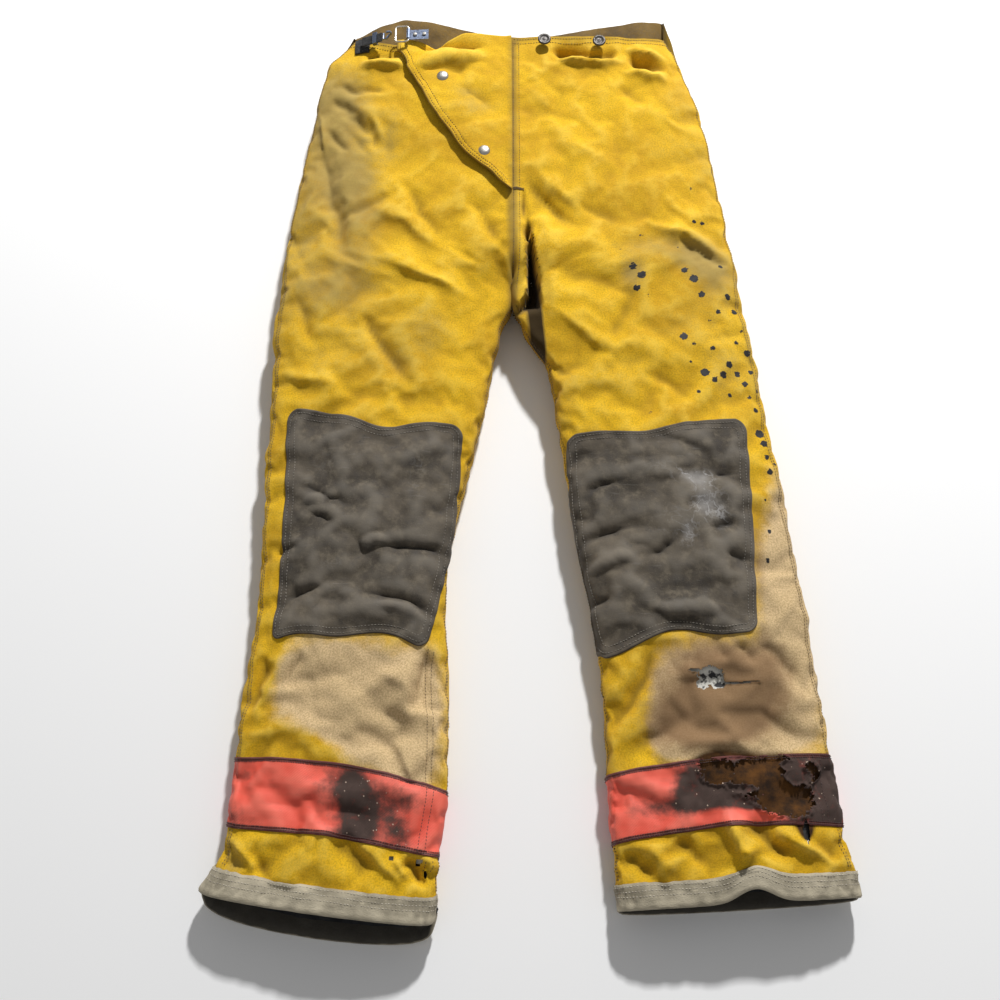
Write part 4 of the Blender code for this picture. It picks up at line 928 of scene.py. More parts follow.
DARK_NICKEL = metal_look("nickel_dull", (0.22, 0.21, 0.21), (0.06, 0.055, 0.05), 0.42)
BLUED = metal_look("blued", (0.20, 0.24, 0.33), (0.06, 0.06, 0.07), 0.30)
WEBBING = webbing_look("webbing")


def paint(obj, places, backs, extra):
    """Stores stains and the cloth's layout on the vertices, for the materials."""
    x, y = places[:, 0], places[:, 1]
    values = {name: np.clip(np.where(backs, 0.0, stained(x, y, stains)), 0.0, 1.0)
              for name, stains in STAINS.items()}
    values["soot"] = np.clip(np.where(backs, stained(x, y, BACK_SOOT), values["soot"]), 0, 1)
    nearest = np.full(len(x), 9.0)
    for cx, cy, r in TAR:
        nearest = np.minimum(nearest, np.hypot(x - cx, y - cy) - r)
    values["tar"] = np.where(backs, -1.0, np.clip(-nearest / TAR_FADE, -1, 1))
    values.update(extra)
    for name, value in values.items():
        kind, field = ("FLOAT_VECTOR", "vector") if name == "lay" else ("FLOAT", "value")
        stored = obj.data.attributes.new(name, kind, "POINT")
        stored.data.foreach_set(field, value.astype(np.float32).ravel())


def new_object(name, vertices, faces, material, normals=None):
    mesh = bpy.data.meshes.new(name)
    mesh.from_pydata(vertices.tolist(), [], faces.tolist())
    mesh.materials.append(material)
    mesh.shade_smooth()
    if normals is not None:
        mesh.normals_split_custom_set_from_vertices(normals.tolist())
    obj = bpy.data.objects.new(name, mesh)
    bpy.context.scene.collection.objects.link(obj)
    return obj


def skins(outer, inner, labels, keep=None):
    """Vertices and faces of a sheet between two grids of points. Points with equal labels are one."""
    count = outer.shape[0] * outer.shape[1]
    quads = np.stack([labels[:-1, :-1], labels[1:, :-1], labels[1:, 1:], labels[:-1, 1:]], axis=-1)
    quads = quads.reshape(-1, 4) if keep is None else quads[keep]
    rims = quads[:, [(0, 1), (1, 2), (2, 3), (3, 0)]].reshape(-1, 2)
    codes = rims[:, 0].astype(np.int64) * count + rims[:, 1]
    twins = rims[:, 1].astype(np.int64) * count + rims[:, 0]
    free = rims[~np.isin(codes, twins)]
    sides = np.stack([free[:, 1], free[:, 0], free[:, 0] + count, free[:, 1] + count], axis=-1)
    faces = np.concatenate([quads, quads[:, ::-1] + count, sides])
    used = np.unique(faces)
    renumber = np.zeros(2 * count, int)
    renumber[used] = np.arange(len(used))
    points = np.concatenate([outer.reshape(-1, 3), inner.reshape(-1, 3)])[used]
    return points, renumber[faces], used


def crests(side, turn, y, back):
    """How far the cloth stands over its surroundings, and how far it lies below them, 0 to 1. The materials
    paint highlight and wear on the first and shade on the second.
    """
    height = sample(CREST[side][..., None], turn, y, back)[..., 0]
    return np.clip(height, 0, 1), np.clip((-height - 0.5) / 3.0, 0, 1)


def box_blur(field, reach):
    for axis in (0, 1):
        padded = np.pad(field, [(reach, reach) if k == axis else (0, 0) for k in (0, 1)], mode="edge")
        total = np.cumsum(padded, axis=axis)
        total = np.insert(total, 0, 0, axis=axis)
        wide, size = 2 * reach + 1, total.shape[axis]
        field = np.take(total, range(wide, size), axis) - np.take(total, range(0, size - wide), axis)
        field = field / wide
    return field


# How proud the cloth is of its surroundings, in units of CREST_HEIGHT. Its surroundings are the grid
# points up to CREST_REACH away.
CREST, CREST_HEIGHT, CREST_REACH = {}, 0.0016, 5
for side in SIDES:
    over = ((SURFACE[side] - BASE[side]) * NORMAL[side]).sum(-1)
    proud = [part - box_blur(part, CREST_REACH) for part in (over[:COLUMNS], over[COLUMNS:])]
    CREST[side] = np.concatenate(proud) / CREST_HEIGHT


def cloth(name, side, turn, y, backs, outside, inside, material, extra=None, labels=None, keep=None,
          soft=True):
    """Sheet that follows the wall between two lifts off it, over a grid of turns and rows."""
    turn, y = np.broadcast_arrays(turn, y)
    backs = np.broadcast_to(backs, turn.shape)
    outer = on_wall(side, turn, y, outside, backs)
    inner = on_wall(side, turn, y, inside, backs)
    if labels is None:
        labels = np.arange(turn.size).reshape(turn.shape)
    points, faces, used = skins(outer, inner, labels, keep)
    if side == LEFT:
        faces = faces[:, ::-1]
    normal = sample(NORMAL[side], turn, y, backs).reshape(-1, 3)
    normals = np.concatenate([normal, -normal])[used] if soft else None
    obj = new_object(name, points + ORIGIN, faces, material, normals)
    flat = np.tile(sample(LAY[side], turn, y, backs).reshape(-1, 2), (2, 1))[used]
    depth = np.repeat((0.0, 0.01), turn.size)[used]
    # inner marks the inner skin, which the materials paint dark as shade.
    values = {"inner": np.repeat((0.0, 1.0), turn.size)[used], "lay": np.column_stack([flat, depth])}
    for key, value in zip(("crest", "sunk"), crests(side, turn, y, backs)):
        values[key] = np.tile(value.ravel(), 2)[used]
    for key, value in (extra or {}).items():
        values[key] = np.tile(np.broadcast_to(value, turn.shape).ravel(), 2)[used]
    paint(obj, points, np.tile(backs.ravel(), 2)[used], values)
    return obj


def bend(obj, upper):
    if upper:
        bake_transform(obj)
    else:
        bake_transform(obj)


def tube_grid(side, low, high, fine=None):
    """Turns, rows, back flags and labels of one stretch of a half, open at the centre above the crotch."""
    turns = [np.linspace(0, 1, COLUMNS), np.linspace(1, 2, COLUMNS)]
    rows = np.linspace(low, high, max(2, int(round((high - low) / STEP_Y)) + 1))
    if fine:
        for x0, x1, y0, y1, step in fine:
            around = turn_at(side, np.array([x0, x1]), np.array([(y0 + y1) / 2] * 2))
            turns[0] = np.concatenate([turns[0], np.arange(around.min(), around.max(), step / 0.3)])
            rows = np.concatenate([rows, np.arange(y0, y1, step)])
        turns[0], rows = np.unique(np.round(turns[0], 5)), np.unique(np.round(rows, 5))
    turn = np.concatenate(turns)[:, None]
    backs = np.repeat([False, True], [len(turns[0]), len(turns[1])])[:, None]
    labels = np.arange(turn.size * len(rows)).reshape(turn.size, len(rows))
    front = len(turns[0])
    legs = rows <= CROTCH_Y + 1e-6
    labels[front, legs] = labels[front - 1, legs]
    labels[-1] = labels[0]
    keep = np.ones((turn.size - 1, len(rows) - 1), bool)
    keep[front - 1] = False
    return turn, rows[None, :], backs, labels, keep


def opened(keep, side, turn, y, ovals, islands=()):
    """Takes the faces inside holes in the front out of a grid's kept faces."""
    turn, y = np.broadcast_arrays(turn, y)
    places = sample(SURFACE[side], turn, y)
    middle = (places[:-1, :-1] + places[1:, 1:] + places[1:, :-1] + places[:-1, 1:]) / 4
    inside = hollow(middle[..., 0], middle[..., 1], ovals, islands) > 0
    front = (turn[:-1, :-1] < 1) & (turn[1:, 1:] <= 1)
    return keep & ~(inside & front)


def grime_and_shade_at(side, turn, y, backs):
    """Dirt held along the seams, the hems and the waist, and painted shade in the fold beside the crotch."""
    turn, y = np.broadcast_arrays(turn, y)
    seam = np.exp(-((np.minimum(abs(turn - OUTSEAM_TURN), abs(turn - 2 + OUTSEAM_TURN)) * 0.35 / 0.006) ** 2))
    x = sample(SURFACE[side], turn, y, backs)[..., 0]
    centre = np.exp(-((np.abs(x) / 0.007) ** 2)) * smooth((y - 0.6) / 0.05) * 0.9
    waist = np.exp(-(((y - WAIST_Y) / 0.010) ** 2)) * 0.6
    side_dirt = np.exp(-((np.minimum(turn, 2 - turn) / 0.06) ** 2)) * 0.45
    along = sample(SURFACE[side], turn, y, backs)[..., 1]
    # Painted shade: the fold beside the crotch adds up to 2 here, which the canvas paints near-black; below
    # the crotch only a band beside the left leg's crest keeps it.
    near_crest = smooth((x - np.interp(along, *zip(*CREST_LINE)) + 0.025) / 0.010)
    shaded = np.maximum(smooth((along - 0.668) / 0.030), near_crest * smooth((along - 0.565) / 0.06))
    wedge = np.where(backs, 0.0, crotch_wedge(x, along)) * shaded
    return np.clip(0.45 * seam + centre + waist + side_dirt, 0, 1) + 2.0 * wedge


# Stretches of the front with a finer grid, for the holes' edges: (low X, high X, low Y, high Y, step).
FINE = {RIGHT: [(-0.136, -0.088, 0.016, 0.046, 0.0007)],
        LEFT: [(0.184, 0.272, 0.212, 0.244, 0.0010), (0.298, 0.312, 0.052, 0.080, 0.0014)]}
HOLES = {RIGHT: HEM_TEARS, LEFT: TEAR + SLIT}
CLOTH_THICKNESS, HOLE_CURL = 0.0012, 0.0013
# Linings: name, material, slot, lifts of the two faces, and the row at which they stop above the hem.
LININGS = [("moisture_barrier", MEMBRANE, "moisture_membrane", -0.0030, -0.0038, 0.050),
           ("thermal_liner", QUILT, "thermal_quilt", -0.0042, -0.0066, 0.012)]
LINING_TOP = 1.045
FACING_LIFTS = (-0.0016, -0.0026)
for side, word in SIDES.items():
    for part, low, high in (("upper", SPLIT_Y, WAIST_Y), ("lower", 0.0, SPLIT_Y)):
        upper = part == "upper"
        turn, y, backs, labels, keep = tube_grid(side, low, high, None if upper else FINE[side])
        lift = 0.0
        if not upper:
            keep = opened(keep, side, turn, y, HOLES[side])
            spot = sample(SURFACE[side], *np.broadcast_arrays(turn, y))
            gap = hollow(spot[..., 0], spot[..., 1], HOLES[side])
            curl = HOLE_CURL * np.clip(1 + gap, 0, 1)
            lift = np.where(backs, 0, curl * (1 + noise(spot[..., 0] / 0.004, spot[..., 1] / 0.004, 71)))
        shell = cloth(f"shell_{part}_{word}", side, turn, y, backs, lift, lift - CLOTH_THICKNESS, CANVAS,
                      {"grime": grime_and_shade_at(side, turn, y, backs)}, labels, keep)
        areas = ("seat", "thigh") if upper else ("shin",)
        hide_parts(*(f"{a}_{b}_{word}" for a in areas for b in ("front", "back")))
        bend(shell, upper)
        for layer, look, slot, outside, inside, foot in LININGS:
            start, stop = (low, LINING_TOP) if upper else (foot, high)
            turn, y, backs, labels, keep = tube_grid(side, start, stop)
            lining = cloth(f"{layer}_{part}_{word}", side, turn, y, backs, outside, inside, look, {},
                           labels, keep)
            nodes = [f"{layer}_thigh_{word}" if upper else f"{layer}_shin_{word}"]
            if upper and side == RIGHT:
                nodes.append(f"{layer}_seat")
            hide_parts(*nodes)
            bend(lining, upper)


def ring_grid(front, under, rows):
    """Closed grid round one leg: turns, shares of its height, back flags and labels."""
    turn = np.concatenate([np.linspace(0, 1, front), np.linspace(1, 2, under)])[:, None]
    share = np.linspace(0, 1, rows)[None, :]
    backs = np.repeat([False, True], [front, under])[:, None]
    labels = np.arange(turn.size * rows).reshape(turn.size, rows)
    labels[front] = labels[front - 1]
    labels[-1] = labels[0]
    keep = np.ones((turn.size - 1, rows - 1), bool)
    keep[front - 1] = False
    return turn, share, backs, labels, keep


def level_line(side, places, turn):
    """Row of a line round a leg that passes through places on the front."""
    found = [front_at(side, x, y) for x, y in places]
    turns, rows = [float(f[0]) for f in found], [float(f[1]) for f in found]
    order = np.argsort(turns)
    turns, rows = np.array(turns)[order], np.array(rows)[order]
    stations = [(0, rows[0]), *zip(turns, rows), (1, rows[-1]), (1.5, rows.mean()), (2, rows[0])]
    return through(stations, turn, 0.05)


# Knee patches: corners and the middles of the edges, from the outer top round by the top and inside.
PATCH_OUTLINE = {
    RIGHT: [(-0.266, 0.549), (-0.162, 0.533), (-0.060, 0.527), (-0.071, 0.395), (-0.099, 0.261),
            (-0.186, 0.277), (-0.269, 0.266), (-0.263, 0.395)],
    LEFT: [(0.271, 0.534), (0.165, 0.524), (0.063, 0.515), (0.070, 0.395), (0.093, 0.250),
           (0.182, 0.277), (0.267, 0.275), (0.271, 0.395)],
}
# How far the top edge of each patch is drawn down where a fold crosses it, and where that is.
PATCH_DIP, PATCH_DIP_AT = {RIGHT: 0.011, LEFT: 0.007}, {RIGHT: 0.10, LEFT: 0.15}
PATCH_CORNER, PATCH_EDGE, PATCH_CLOTH, PATCH_LIFT, PAD_RISE = 0.016, 0.0016, 0.0018, 0.0004, 0.0022
PATCH_HALF = (0.100, 0.133)
# How far from an edge the two rows of stitching of a patch and of the flap lie.
EDGE_ROWS = (0.0045, 0.0105)


def patch_place(side, s, t):
    """Place on the front at s and t, which run from -1 to 1 across and down a patch."""
    top, foot = smooth((-0.4 - t) / 0.6), smooth((t - 0.4) / 0.6)
    weights = [
        (1 - s) * (1 - t) * (-s - t - 1) / 4, (1 - s * s) * (1 - t) / 2, (1 + s) * (1 - t) * (s - t - 1) / 4,
        (1 + s) * (1 - t * t) / 2, (1 + s) * (1 + t) * (s + t - 1) / 4, (1 - s * s) * (1 + t) / 2,
        (1 - s) * (1 + t) * (t - s - 1) / 4, (1 - s) * (1 - t * t) / 2,
    ]
    x, y = (sum(w * p[k] for w, p in zip(weights, PATCH_OUTLINE[side])) for k in (0, 1))
    dip = PATCH_DIP[side] * np.exp(-(((s - PATCH_DIP_AT[side]) / 0.30) ** 2))
    return x, y - dip * top + 0.004 * foot * np.sin(5.0 * s + side)


def patch_edge_reach(t, inset=0.0):
    """How far s reaches at t, with the corners rounded, on a line inset from the outline."""
    radius = PATCH_CORNER - inset
    end = PATCH_HALF[1] - inset
    depth = np.clip(radius - (end - np.abs(t) * PATCH_HALF[1]), 0, radius)
    return (PATCH_HALF[0] - inset - radius + np.sqrt(radius**2 - depth**2)) / PATCH_HALF[0]


def patch_line(side, inset, count=420):
    """Line round a patch, inset from its outline: turns and rows."""
    a, b, radius = PATCH_HALF[0] - inset, PATCH_HALF[1] - inset, PATCH_CORNER - inset
    loop = []
    for sx, sy, start in ((1, 1, 0), (-1, 1, 90), (-1, -1, 180), (1, -1, 270)):
        for degrees in np.linspace(start, start + 90, 9):
            angle = math.radians(degrees)
            loop.append((sx * (a - radius) + radius * math.cos(angle),
                         sy * (b - radius) + radius * math.sin(angle)))
    loop = np.array(loop + loop[:1])
    length = np.concatenate([[0], np.cumsum(np.linalg.norm(np.diff(loop, axis=0), axis=1))])
    at = np.linspace(0, length[-1], count)
    s, t = (np.interp(at, length, loop[:, k]) / PATCH_HALF[k] for k in (0, 1))
    return front_at(side, *patch_place(side, s, t))


def fine_ends(count, steps=(0.0004, 0.0010, 0.0018, 0.0030, 0.0045), half=0.1):
    """Positions from -1 to 1, closer together at both ends."""
    ends = np.array(steps) / half
    between_ends = np.linspace(-1 + ends[-1], 1 - ends[-1], count)[1:-1]
    return np.concatenate([[-1], -1 + ends, between_ends, 1 - ends[::-1], [1]])


STITCH_PITCH, STITCH_LENGTH, STITCH_WIDTH, STITCH_LIFT = 0.0036, 0.0026, 0.00090, 0.0003


def sewn(name, look, lines, pitch=STITCH_PITCH, length=STITCH_LENGTH, width=STITCH_WIDTH, seed=5):
    """One mesh of all the stitches along lines of (points, normals)."""
    rng = np.random.default_rng(seed)
    centres, along, up = [], [], []
    for points, normals in lines:
        gone = np.concatenate([[0], np.cumsum(np.linalg.norm(np.diff(points, axis=0), axis=1))])
        if gone[-1] < 2 * pitch:
            continue
        at = np.arange(pitch / 2, gone[-1] - pitch / 2, pitch)
        at = at + rng.uniform(-0.12, 0.12, len(at)) * pitch
        place, normal, ahead = (
            np.stack([np.interp(a, gone, field[:, k]) for k in range(3)], axis=1)
            for a, field in ((at, points), (at, normals), (at + pitch * 0.4, points)))
        centres.append(place)
        along.append(ahead - place)
        up.append(normal)
    centre, way, normal = (np.concatenate(part) for part in (centres, along, up))
    way /= np.maximum(np.linalg.norm(way, axis=1, keepdims=True), 1e-9)
    aside = np.cross(way, normal)
    aside /= np.maximum(np.linalg.norm(aside, axis=1, keepdims=True), 1e-9)
    normal = np.cross(aside, way)
    way = way + aside * rng.normal(0, 0.06, (len(way), 1))
    reach = length / 2 * rng.uniform(0.85, 1.1, (len(way), 1))
    sunk = normal * width * 0.35
    rings = [centre - way * reach - sunk]
    for share, size in ((-0.5, 0.85), (0.5, 0.85)):
        for k in range(6):
            angle = 2 * math.pi * k / 6
            spoke = (aside * math.cos(angle) + normal * math.sin(angle)) * width / 2 * size
            rings.append(centre + way * reach * share + spoke)
    rings.append(centre + way * reach - sunk)
    points = np.stack(rings, axis=1)
    pattern = [(0, 1 + (k + 1) % 6, 1 + k) for k in range(6)]
    pattern += [(7 + k, 7 + (k + 1) % 6, 13) for k in range(6)]
    middle = [(1 + k, 1 + (k + 1) % 6, 7 + (k + 1) % 6, 7 + k) for k in range(6)]
    start = 14 * np.arange(len(points))[:, None, None]
    faces = [(np.array(part)[None] + start).reshape(-1, len(part[0])).tolist() for part in (pattern, middle)]
    mesh = bpy.data.meshes.new(name)
    mesh.from_pydata((points.reshape(-1, 3) + ORIGIN).tolist(), [], faces[0] + faces[1])
    mesh.materials.append(look)
    mesh.shade_smooth()
    obj = bpy.data.objects.new(name, mesh)
    bpy.context.scene.collection.objects.link(obj)
    return obj


def wall_line(side, turn, y, lift, back=None):
    """Points and normals of a line along the wall."""
    turn, y = np.broadcast_arrays(np.asarray(turn, float), np.asarray(y, float))
    normal = sample(NORMAL[side], turn, y, back)
    return on_wall(side, turn, y, lift, back), normal / np.linalg.norm(normal, axis=-1, keepdims=True)


for side, word in SIDES.items():
    # Knee patch.
    s, t = fine_ends(76, half=PATCH_HALF[0])[:, None], fine_ends(104, half=PATCH_HALF[1])[None, :]
    across = s * patch_edge_reach(t)
    x, y = patch_place(side, across, np.broadcast_to(t, across.shape))
    turn, row = front_at(side, x, y)
    border = np.minimum((1 - np.abs(s)) * PATCH_HALF[0] * patch_edge_reach(t),
                        (1 - np.abs(t)) * PATCH_HALF[1])
    roll = np.sqrt(1 - (1 - np.clip(border / PATCH_EDGE, 0, 1)) ** 2)
    groove = sum(np.exp(-(((border - at) / 0.0011) ** 2)) for at in EDGE_ROWS)
    swell = PAD_RISE * smooth((border - 0.008) / 0.03)
    crumple = 0.0007 * noise(x / 0.020, y / 0.014, 81) * smooth(border / 0.01)
    top = PATCH_LIFT + PATCH_CLOTH * roll - 0.0005 * groove + swell + crumple
    low = np.maximum(0.0003, top - PATCH_CLOTH) * np.ones_like(top)
    low = np.minimum(low, top - 0.00005)
    rim = np.exp(-border / 0.002) + 0.35 * np.exp(-(((border - 0.0075) / 0.005) ** 2))
    patch = cloth(f"knee_patch_{word}", side, turn, row, False, top, low, SUEDE, {"rim": rim}, soft=False)
    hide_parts(f"knee_patch_{word}", f"knee_pad_{word}")
    bend(patch, False)
    lift = PATCH_LIFT + PATCH_CLOTH + 0.0001
    lines = [wall_line(side, *patch_line(side, inset),
                       lift + PAD_RISE * float(smooth((inset - 0.008) / 0.03))) for inset in EDGE_ROWS]
    thread = sewn(f"patch_stitches_{word}", THREAD_PALE, lines)
    bend(thread, False)

# Trim bands: places on the front that the two edges pass through.
TRIM_TOP = {RIGHT: [(-0.294, 0.145), (-0.187, 0.138), (-0.078, 0.110)],
            LEFT: [(0.100, 0.125), (0.220, 0.143), (0.340, 0.149)]}
TRIM_LOW = {RIGHT: [(-0.303, 0.072), (-0.194, 0.061), (-0.084, 0.041)],
            LEFT: [(0.106, 0.053), (0.225, 0.072), (0.344, 0.072)]}
TRIM_JOIN = {RIGHT: [(-0.092, 0.112), (-0.100, 0.045)], LEFT: [(0.321, 0.146), (0.328, 0.074)]}
TRIM_LIFT, TRIM_CLOTH, TRIM_WIDTH = 0.0014, 0.0010, 0.073
# Section of a cuff, folded round the hem: (lift off the wall, row).
CUFF_SECTION = [
    (0.0018, 0.0205), (0.0022, 0.017), (0.0022, 0.0), (0.0016, -0.004), (-0.0004, -0.0058),
    (-0.0024, -0.0044), (-0.0034, 0.0), (-0.0034, 0.0175), (-0.002, 0.018), (-0.0018, 0.0),
    (-0.0004, -0.003), (0.0004, 0.0), (0.0006, 0.02),
]
CUFF_STITCH_ROWS, CUFF_STITCH_LIFT = (0.0175, 0.0125, 0.0075), 0.0023
for side, word in SIDES.items():
    turn, share, backs, labels, keep = ring_grid(260 if side == LEFT else 130, 60, 62)
    top_row, low_row = level_line(side, TRIM_TOP[side], turn), level_line(side, TRIM_LOW[side], turn)
    row = low_row + (top_row - low_row) * share
    border = np.minimum(share, 1 - share) * TRIM_WIDTH
    spot = sample(SURFACE[side], *np.broadcast_arrays(turn, row))
    lift = TRIM_LIFT + 0.0005 * noise(spot[..., 0] / 0.006, share * 2.0, 91) * np.exp(-border / 0.004)
    lift = lift - 0.0004 * np.exp(-(((border - 0.0035) / 0.0012) ** 2))
    if side == LEFT:
        keep = opened(keep, side, turn, row, BURNS, ISLANDS)
        gap = hollow(spot[..., 0], spot[..., 1], BURNS, ISLANDS)
        curl = np.clip(1 + gap / 0.8, 0, 1) * (1.2 + noise(spot[..., 0] / 0.005, spot[..., 1] / 0.005, 92))
        lift = lift + np.where(backs, 0, 0.0022 * curl)
    rim = np.exp(-((border / 0.0046) ** 4))
    join_line = np.array(sorted((b, a) for a, b in TRIM_JOIN[side])).T
    joined = np.abs(spot[..., 0] - np.interp(spot[..., 1], *join_line))
    rim = rim + np.where(backs, 0, 0.4 * np.exp(-((joined / 0.0015) ** 2)))
    trim = cloth(f"trim_band_{word}", side, turn, row, backs, lift, lift - TRIM_CLOTH, TRIM, {"rim": rim},
                 labels, keep, soft=False)
    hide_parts(f"trim_band_{word}")
    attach(trim, f"shin_{word}")
    around = np.linspace(0.0, 2.0, 900)
    lines = []
    for rows, inward in ((TRIM_TOP[side], -1), (TRIM_LOW[side], 1)):
        for inset in (0.0018, 0.0042):
            row = level_line(side, rows, around) + inward * inset
            lines.append(wall_line(side, around, row, TRIM_LIFT + 0.0002))
    dark = sewn(f"trim_stitches_{word}", THREAD_DARK, lines, pitch=0.0026, length=0.0026, width=0.0010)
    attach(dark, f"shin_{word}")
    lines = []
    for offset in (-0.0035, 0.0035):
        x, y = (np.linspace(TRIM_JOIN[side][0][k], TRIM_JOIN[side][1][k], 40) for k in (0, 1))
        lines.append(wall_line(side, *front_at(side, x + offset, y), TRIM_LIFT + 0.0002, False))
    join = sewn(f"join_stitches_{word}", THREAD_DARK, lines)
    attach(join, f"shin_{word}")

    # Cuff, folded round the hem.
    profile = np.array(CUFF_SECTION)
    fine = []
    for a, b in zip(profile, np.roll(profile, -1, axis=0)):
        pieces = max(1, int(np.linalg.norm(b - a) / 0.003))
        fine += [a + (b - a) * k / pieces for k in range(pieces)]
    fine = np.array(fine)
    lift, row = fine[None, :, 0], fine[None, :, 1]
    turn = np.concatenate([np.linspace(0, 1, 120)[:-1], np.linspace(1, 2, 90)[:-1]])[:, None]
    wave = 0.0007 * noise(turn * 40, side * 7.0, 95) * smooth(row / 0.02)
    backs = turn > 1
    points = on_wall(side, turn, row + wave, lift + 0.0004 * noise(turn * 60, row / 0.006, 96))
    c, r = points.shape[:2]
    i, j = np.meshgrid(np.arange(c), np.arange(r), indexing="ij")
    i2, j2 = (i + 1) % c, (j + 1) % r
    faces = np.stack([i * r + j, i2 * r + j, i2 * r + j2, i * r + j2], axis=-1).reshape(-1, 4)
    faces = faces[:, ::-1] if side == LEFT else faces
    cuff = new_object(f"hem_cuff_{word}", points.reshape(-1, 3) + ORIGIN, faces, CUFF)
    profile_length = np.concatenate([[0], np.cumsum(np.linalg.norm(np.diff(fine, axis=0), axis=1))])
    lay = np.stack(np.broadcast_arrays(turn * 0.25, profile_length[None, :], 0.02), axis=-1).reshape(-1, 3)
    worn = np.clip(np.exp(-(((row + 0.003) / 0.004) ** 2)) + 0.5 * noise(turn * 30, row / 0.01, 97), 0, 1)
    # Painted shade: the cuff's inner faces are marked for the leather's near-black inner shade.
    inner_shade = np.broadcast_to(smooth((0.0002 - lift) / 0.0016), (c, r)).ravel()
    paint(cuff, points.reshape(-1, 3), np.broadcast_to(backs, (c, r)).ravel(),
          {"lay": lay, "crest": worn.ravel(), "inner": inner_shade})
    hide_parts(f"hem_cuff_{word}")
    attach(cuff, f"shin_{word}")
    lines = [wall_line(side, around, np.full_like(around, at), CUFF_STITCH_LIFT) for at in CUFF_STITCH_ROWS]
    pale = sewn(f"cuff_stitches_{word}", THREAD_GREY, lines)
    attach(pale, f"shin_{word}")

    # Stitching of the seams, in the cloth's upper and lower stretches.
    for part, low, high in (("upper", SPLIT_Y, 1.088), ("lower", 0.024, SPLIT_Y)):
        y = np.linspace(low, high, 400)
        lines = []
        for aside in (-0.0035, 0.0035):
            for base in (OUTSEAM_TURN, 2 - OUTSEAM_TURN):
                lines.append(wall_line(side, base + aside / 0.35, y, STITCH_LIFT))
        legs = y[y < CROTCH_Y + 0.02]
        if len(legs) > 4:
            for base in (0.955, 0.975, 1.035):
                lines.append(wall_line(side, np.full_like(legs, base), legs, STITCH_LIFT))
        if part == "upper":
            trunk = y[(y > 0.72) & (y < 1.085)]
            if side == LEFT:
                for x in (0.0012, 0.0085):
                    place = front_at(side, np.full_like(trunk, x), trunk - 0.012)
                    lines.append(wall_line(side, *place, STITCH_LIFT, False))
            lines.append(wall_line(side, np.full_like(trunk, 1.012), trunk, STITCH_LIFT, True))
            for below in (0.004, 0.011):
                for start, stop, back in ((0.0, 0.999, False), (1.001, 2.0, True)):
                    around_waist = np.linspace(start, stop, 300)
                    level = np.full_like(around_waist, WAIST_Y - below)
                    lines.append(wall_line(side, around_waist, level, STITCH_LIFT, back))
        elif side == RIGHT:
            for offset in (-0.003, 0.003):
                down = np.linspace(0.026, 0.262, 120)
                down = down[(down < 0.040) | (down > 0.116)]
                for part_of in (down[down < 0.08], down[down > 0.08]):
                    place = front_at(side, np.full_like(part_of, -0.093) + offset, part_of)
                    lines.append(wall_line(side, *place, STITCH_LIFT, False))
        seams = sewn(f"seam_stitches_{part}_{word}", THREAD_TAN, lines)
        bend(seams, part == "upper")

    # Facing inside the waist.
    turn, y, backs, labels, keep = tube_grid(side, 1.046, WAIST_Y - 0.0008)
    facing = cloth(f"waist_facing_{word}", side, turn, y, backs, *FACING_LIFTS, WAIST_CLOTH, {}, labels, keep)
    if side == RIGHT:
        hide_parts("waist_facing")
    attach(facing, "seat")

# Facing behind the fly, in the darker canvas copy that paints its shade.
turn, y = np.linspace(0.80, 0.996, 24)[:, None], np.linspace(0.852, 1.040, 56)[None, :]
facing = cloth("fly_facing", RIGHT, turn, y, False, *FACING_LIFTS, CANVAS_SHADED, {"grime": 0.2})
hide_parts("fly_facing")
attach(facing, "seat")

# Fly flap over the wearer's right front: its free edge, as (row, distance from the centre seam).
FLAP_EDGE = [
    (0.838, 0.002), (0.85, 0.017), (0.894, 0.062), (0.9625, 0.105), (1.017, 0.131), (1.06, 0.148),
    (1.1, 0.153),
]
FLAP_CLOTH, FLAP_FOOT, FLAP_TOP = 0.0024, 0.8385, 1.0795


def flap_lift(share):
    """Height of the flap's underside over the front, from the centre seam to its free edge."""
    return 0.0010 + 0.0056 * smooth(share / 0.8)


def flap_row(x, row):
    """Where a row of the flap lies on the front, whose waist is not level."""
    near_waist = smooth((row - 0.98) / 0.10)
    return row + through(WAIST_FRONT, x, 0.006) * near_waist + 0.018 * near_waist


share = ((fine_ends(60, half=0.075) + 1) / 2)[:, None]
rows = np.linspace(FLAP_FOOT, FLAP_TOP, 110)[None, :]
reach = through(FLAP_EDGE, rows, 0.004)
x = -0.0008 - (reach - 0.0008) * share
turn, row = front_at(RIGHT, x, flap_row(x, rows))
border = np.minimum((1 - share) * reach, np.minimum((rows - FLAP_FOOT), (FLAP_TOP - rows)) + 0.0002)
roll = np.sqrt(1 - (1 - np.clip(border / 0.0018, 0, 1)) ** 2)
groove = sum(np.exp(-((((1 - share) * reach - at) / 0.0012) ** 2)) for at in EDGE_ROWS)
under = flap_lift(share) + 0.0008 * noise(x / 0.03, rows / 0.03, 101) * share
top = under + FLAP_CLOTH * (0.15 + 0.85 * roll) - 0.0004 * groove
flap_grime = 0.9 * np.exp(-(((1 - share) * reach / 0.003) ** 2)) + 0.5 * np.exp(-(x / 0.006) ** 2)
flap = cloth("fly_flap", RIGHT, turn, row, False, top, under, CANVAS, {"grime": flap_grime}, soft=False)
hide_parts("fly_flap")
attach(flap, "fly_flap")
lines = []
down = np.linspace(0.846, 1.076, 200)
reach = through(FLAP_EDGE, down, 0.004)
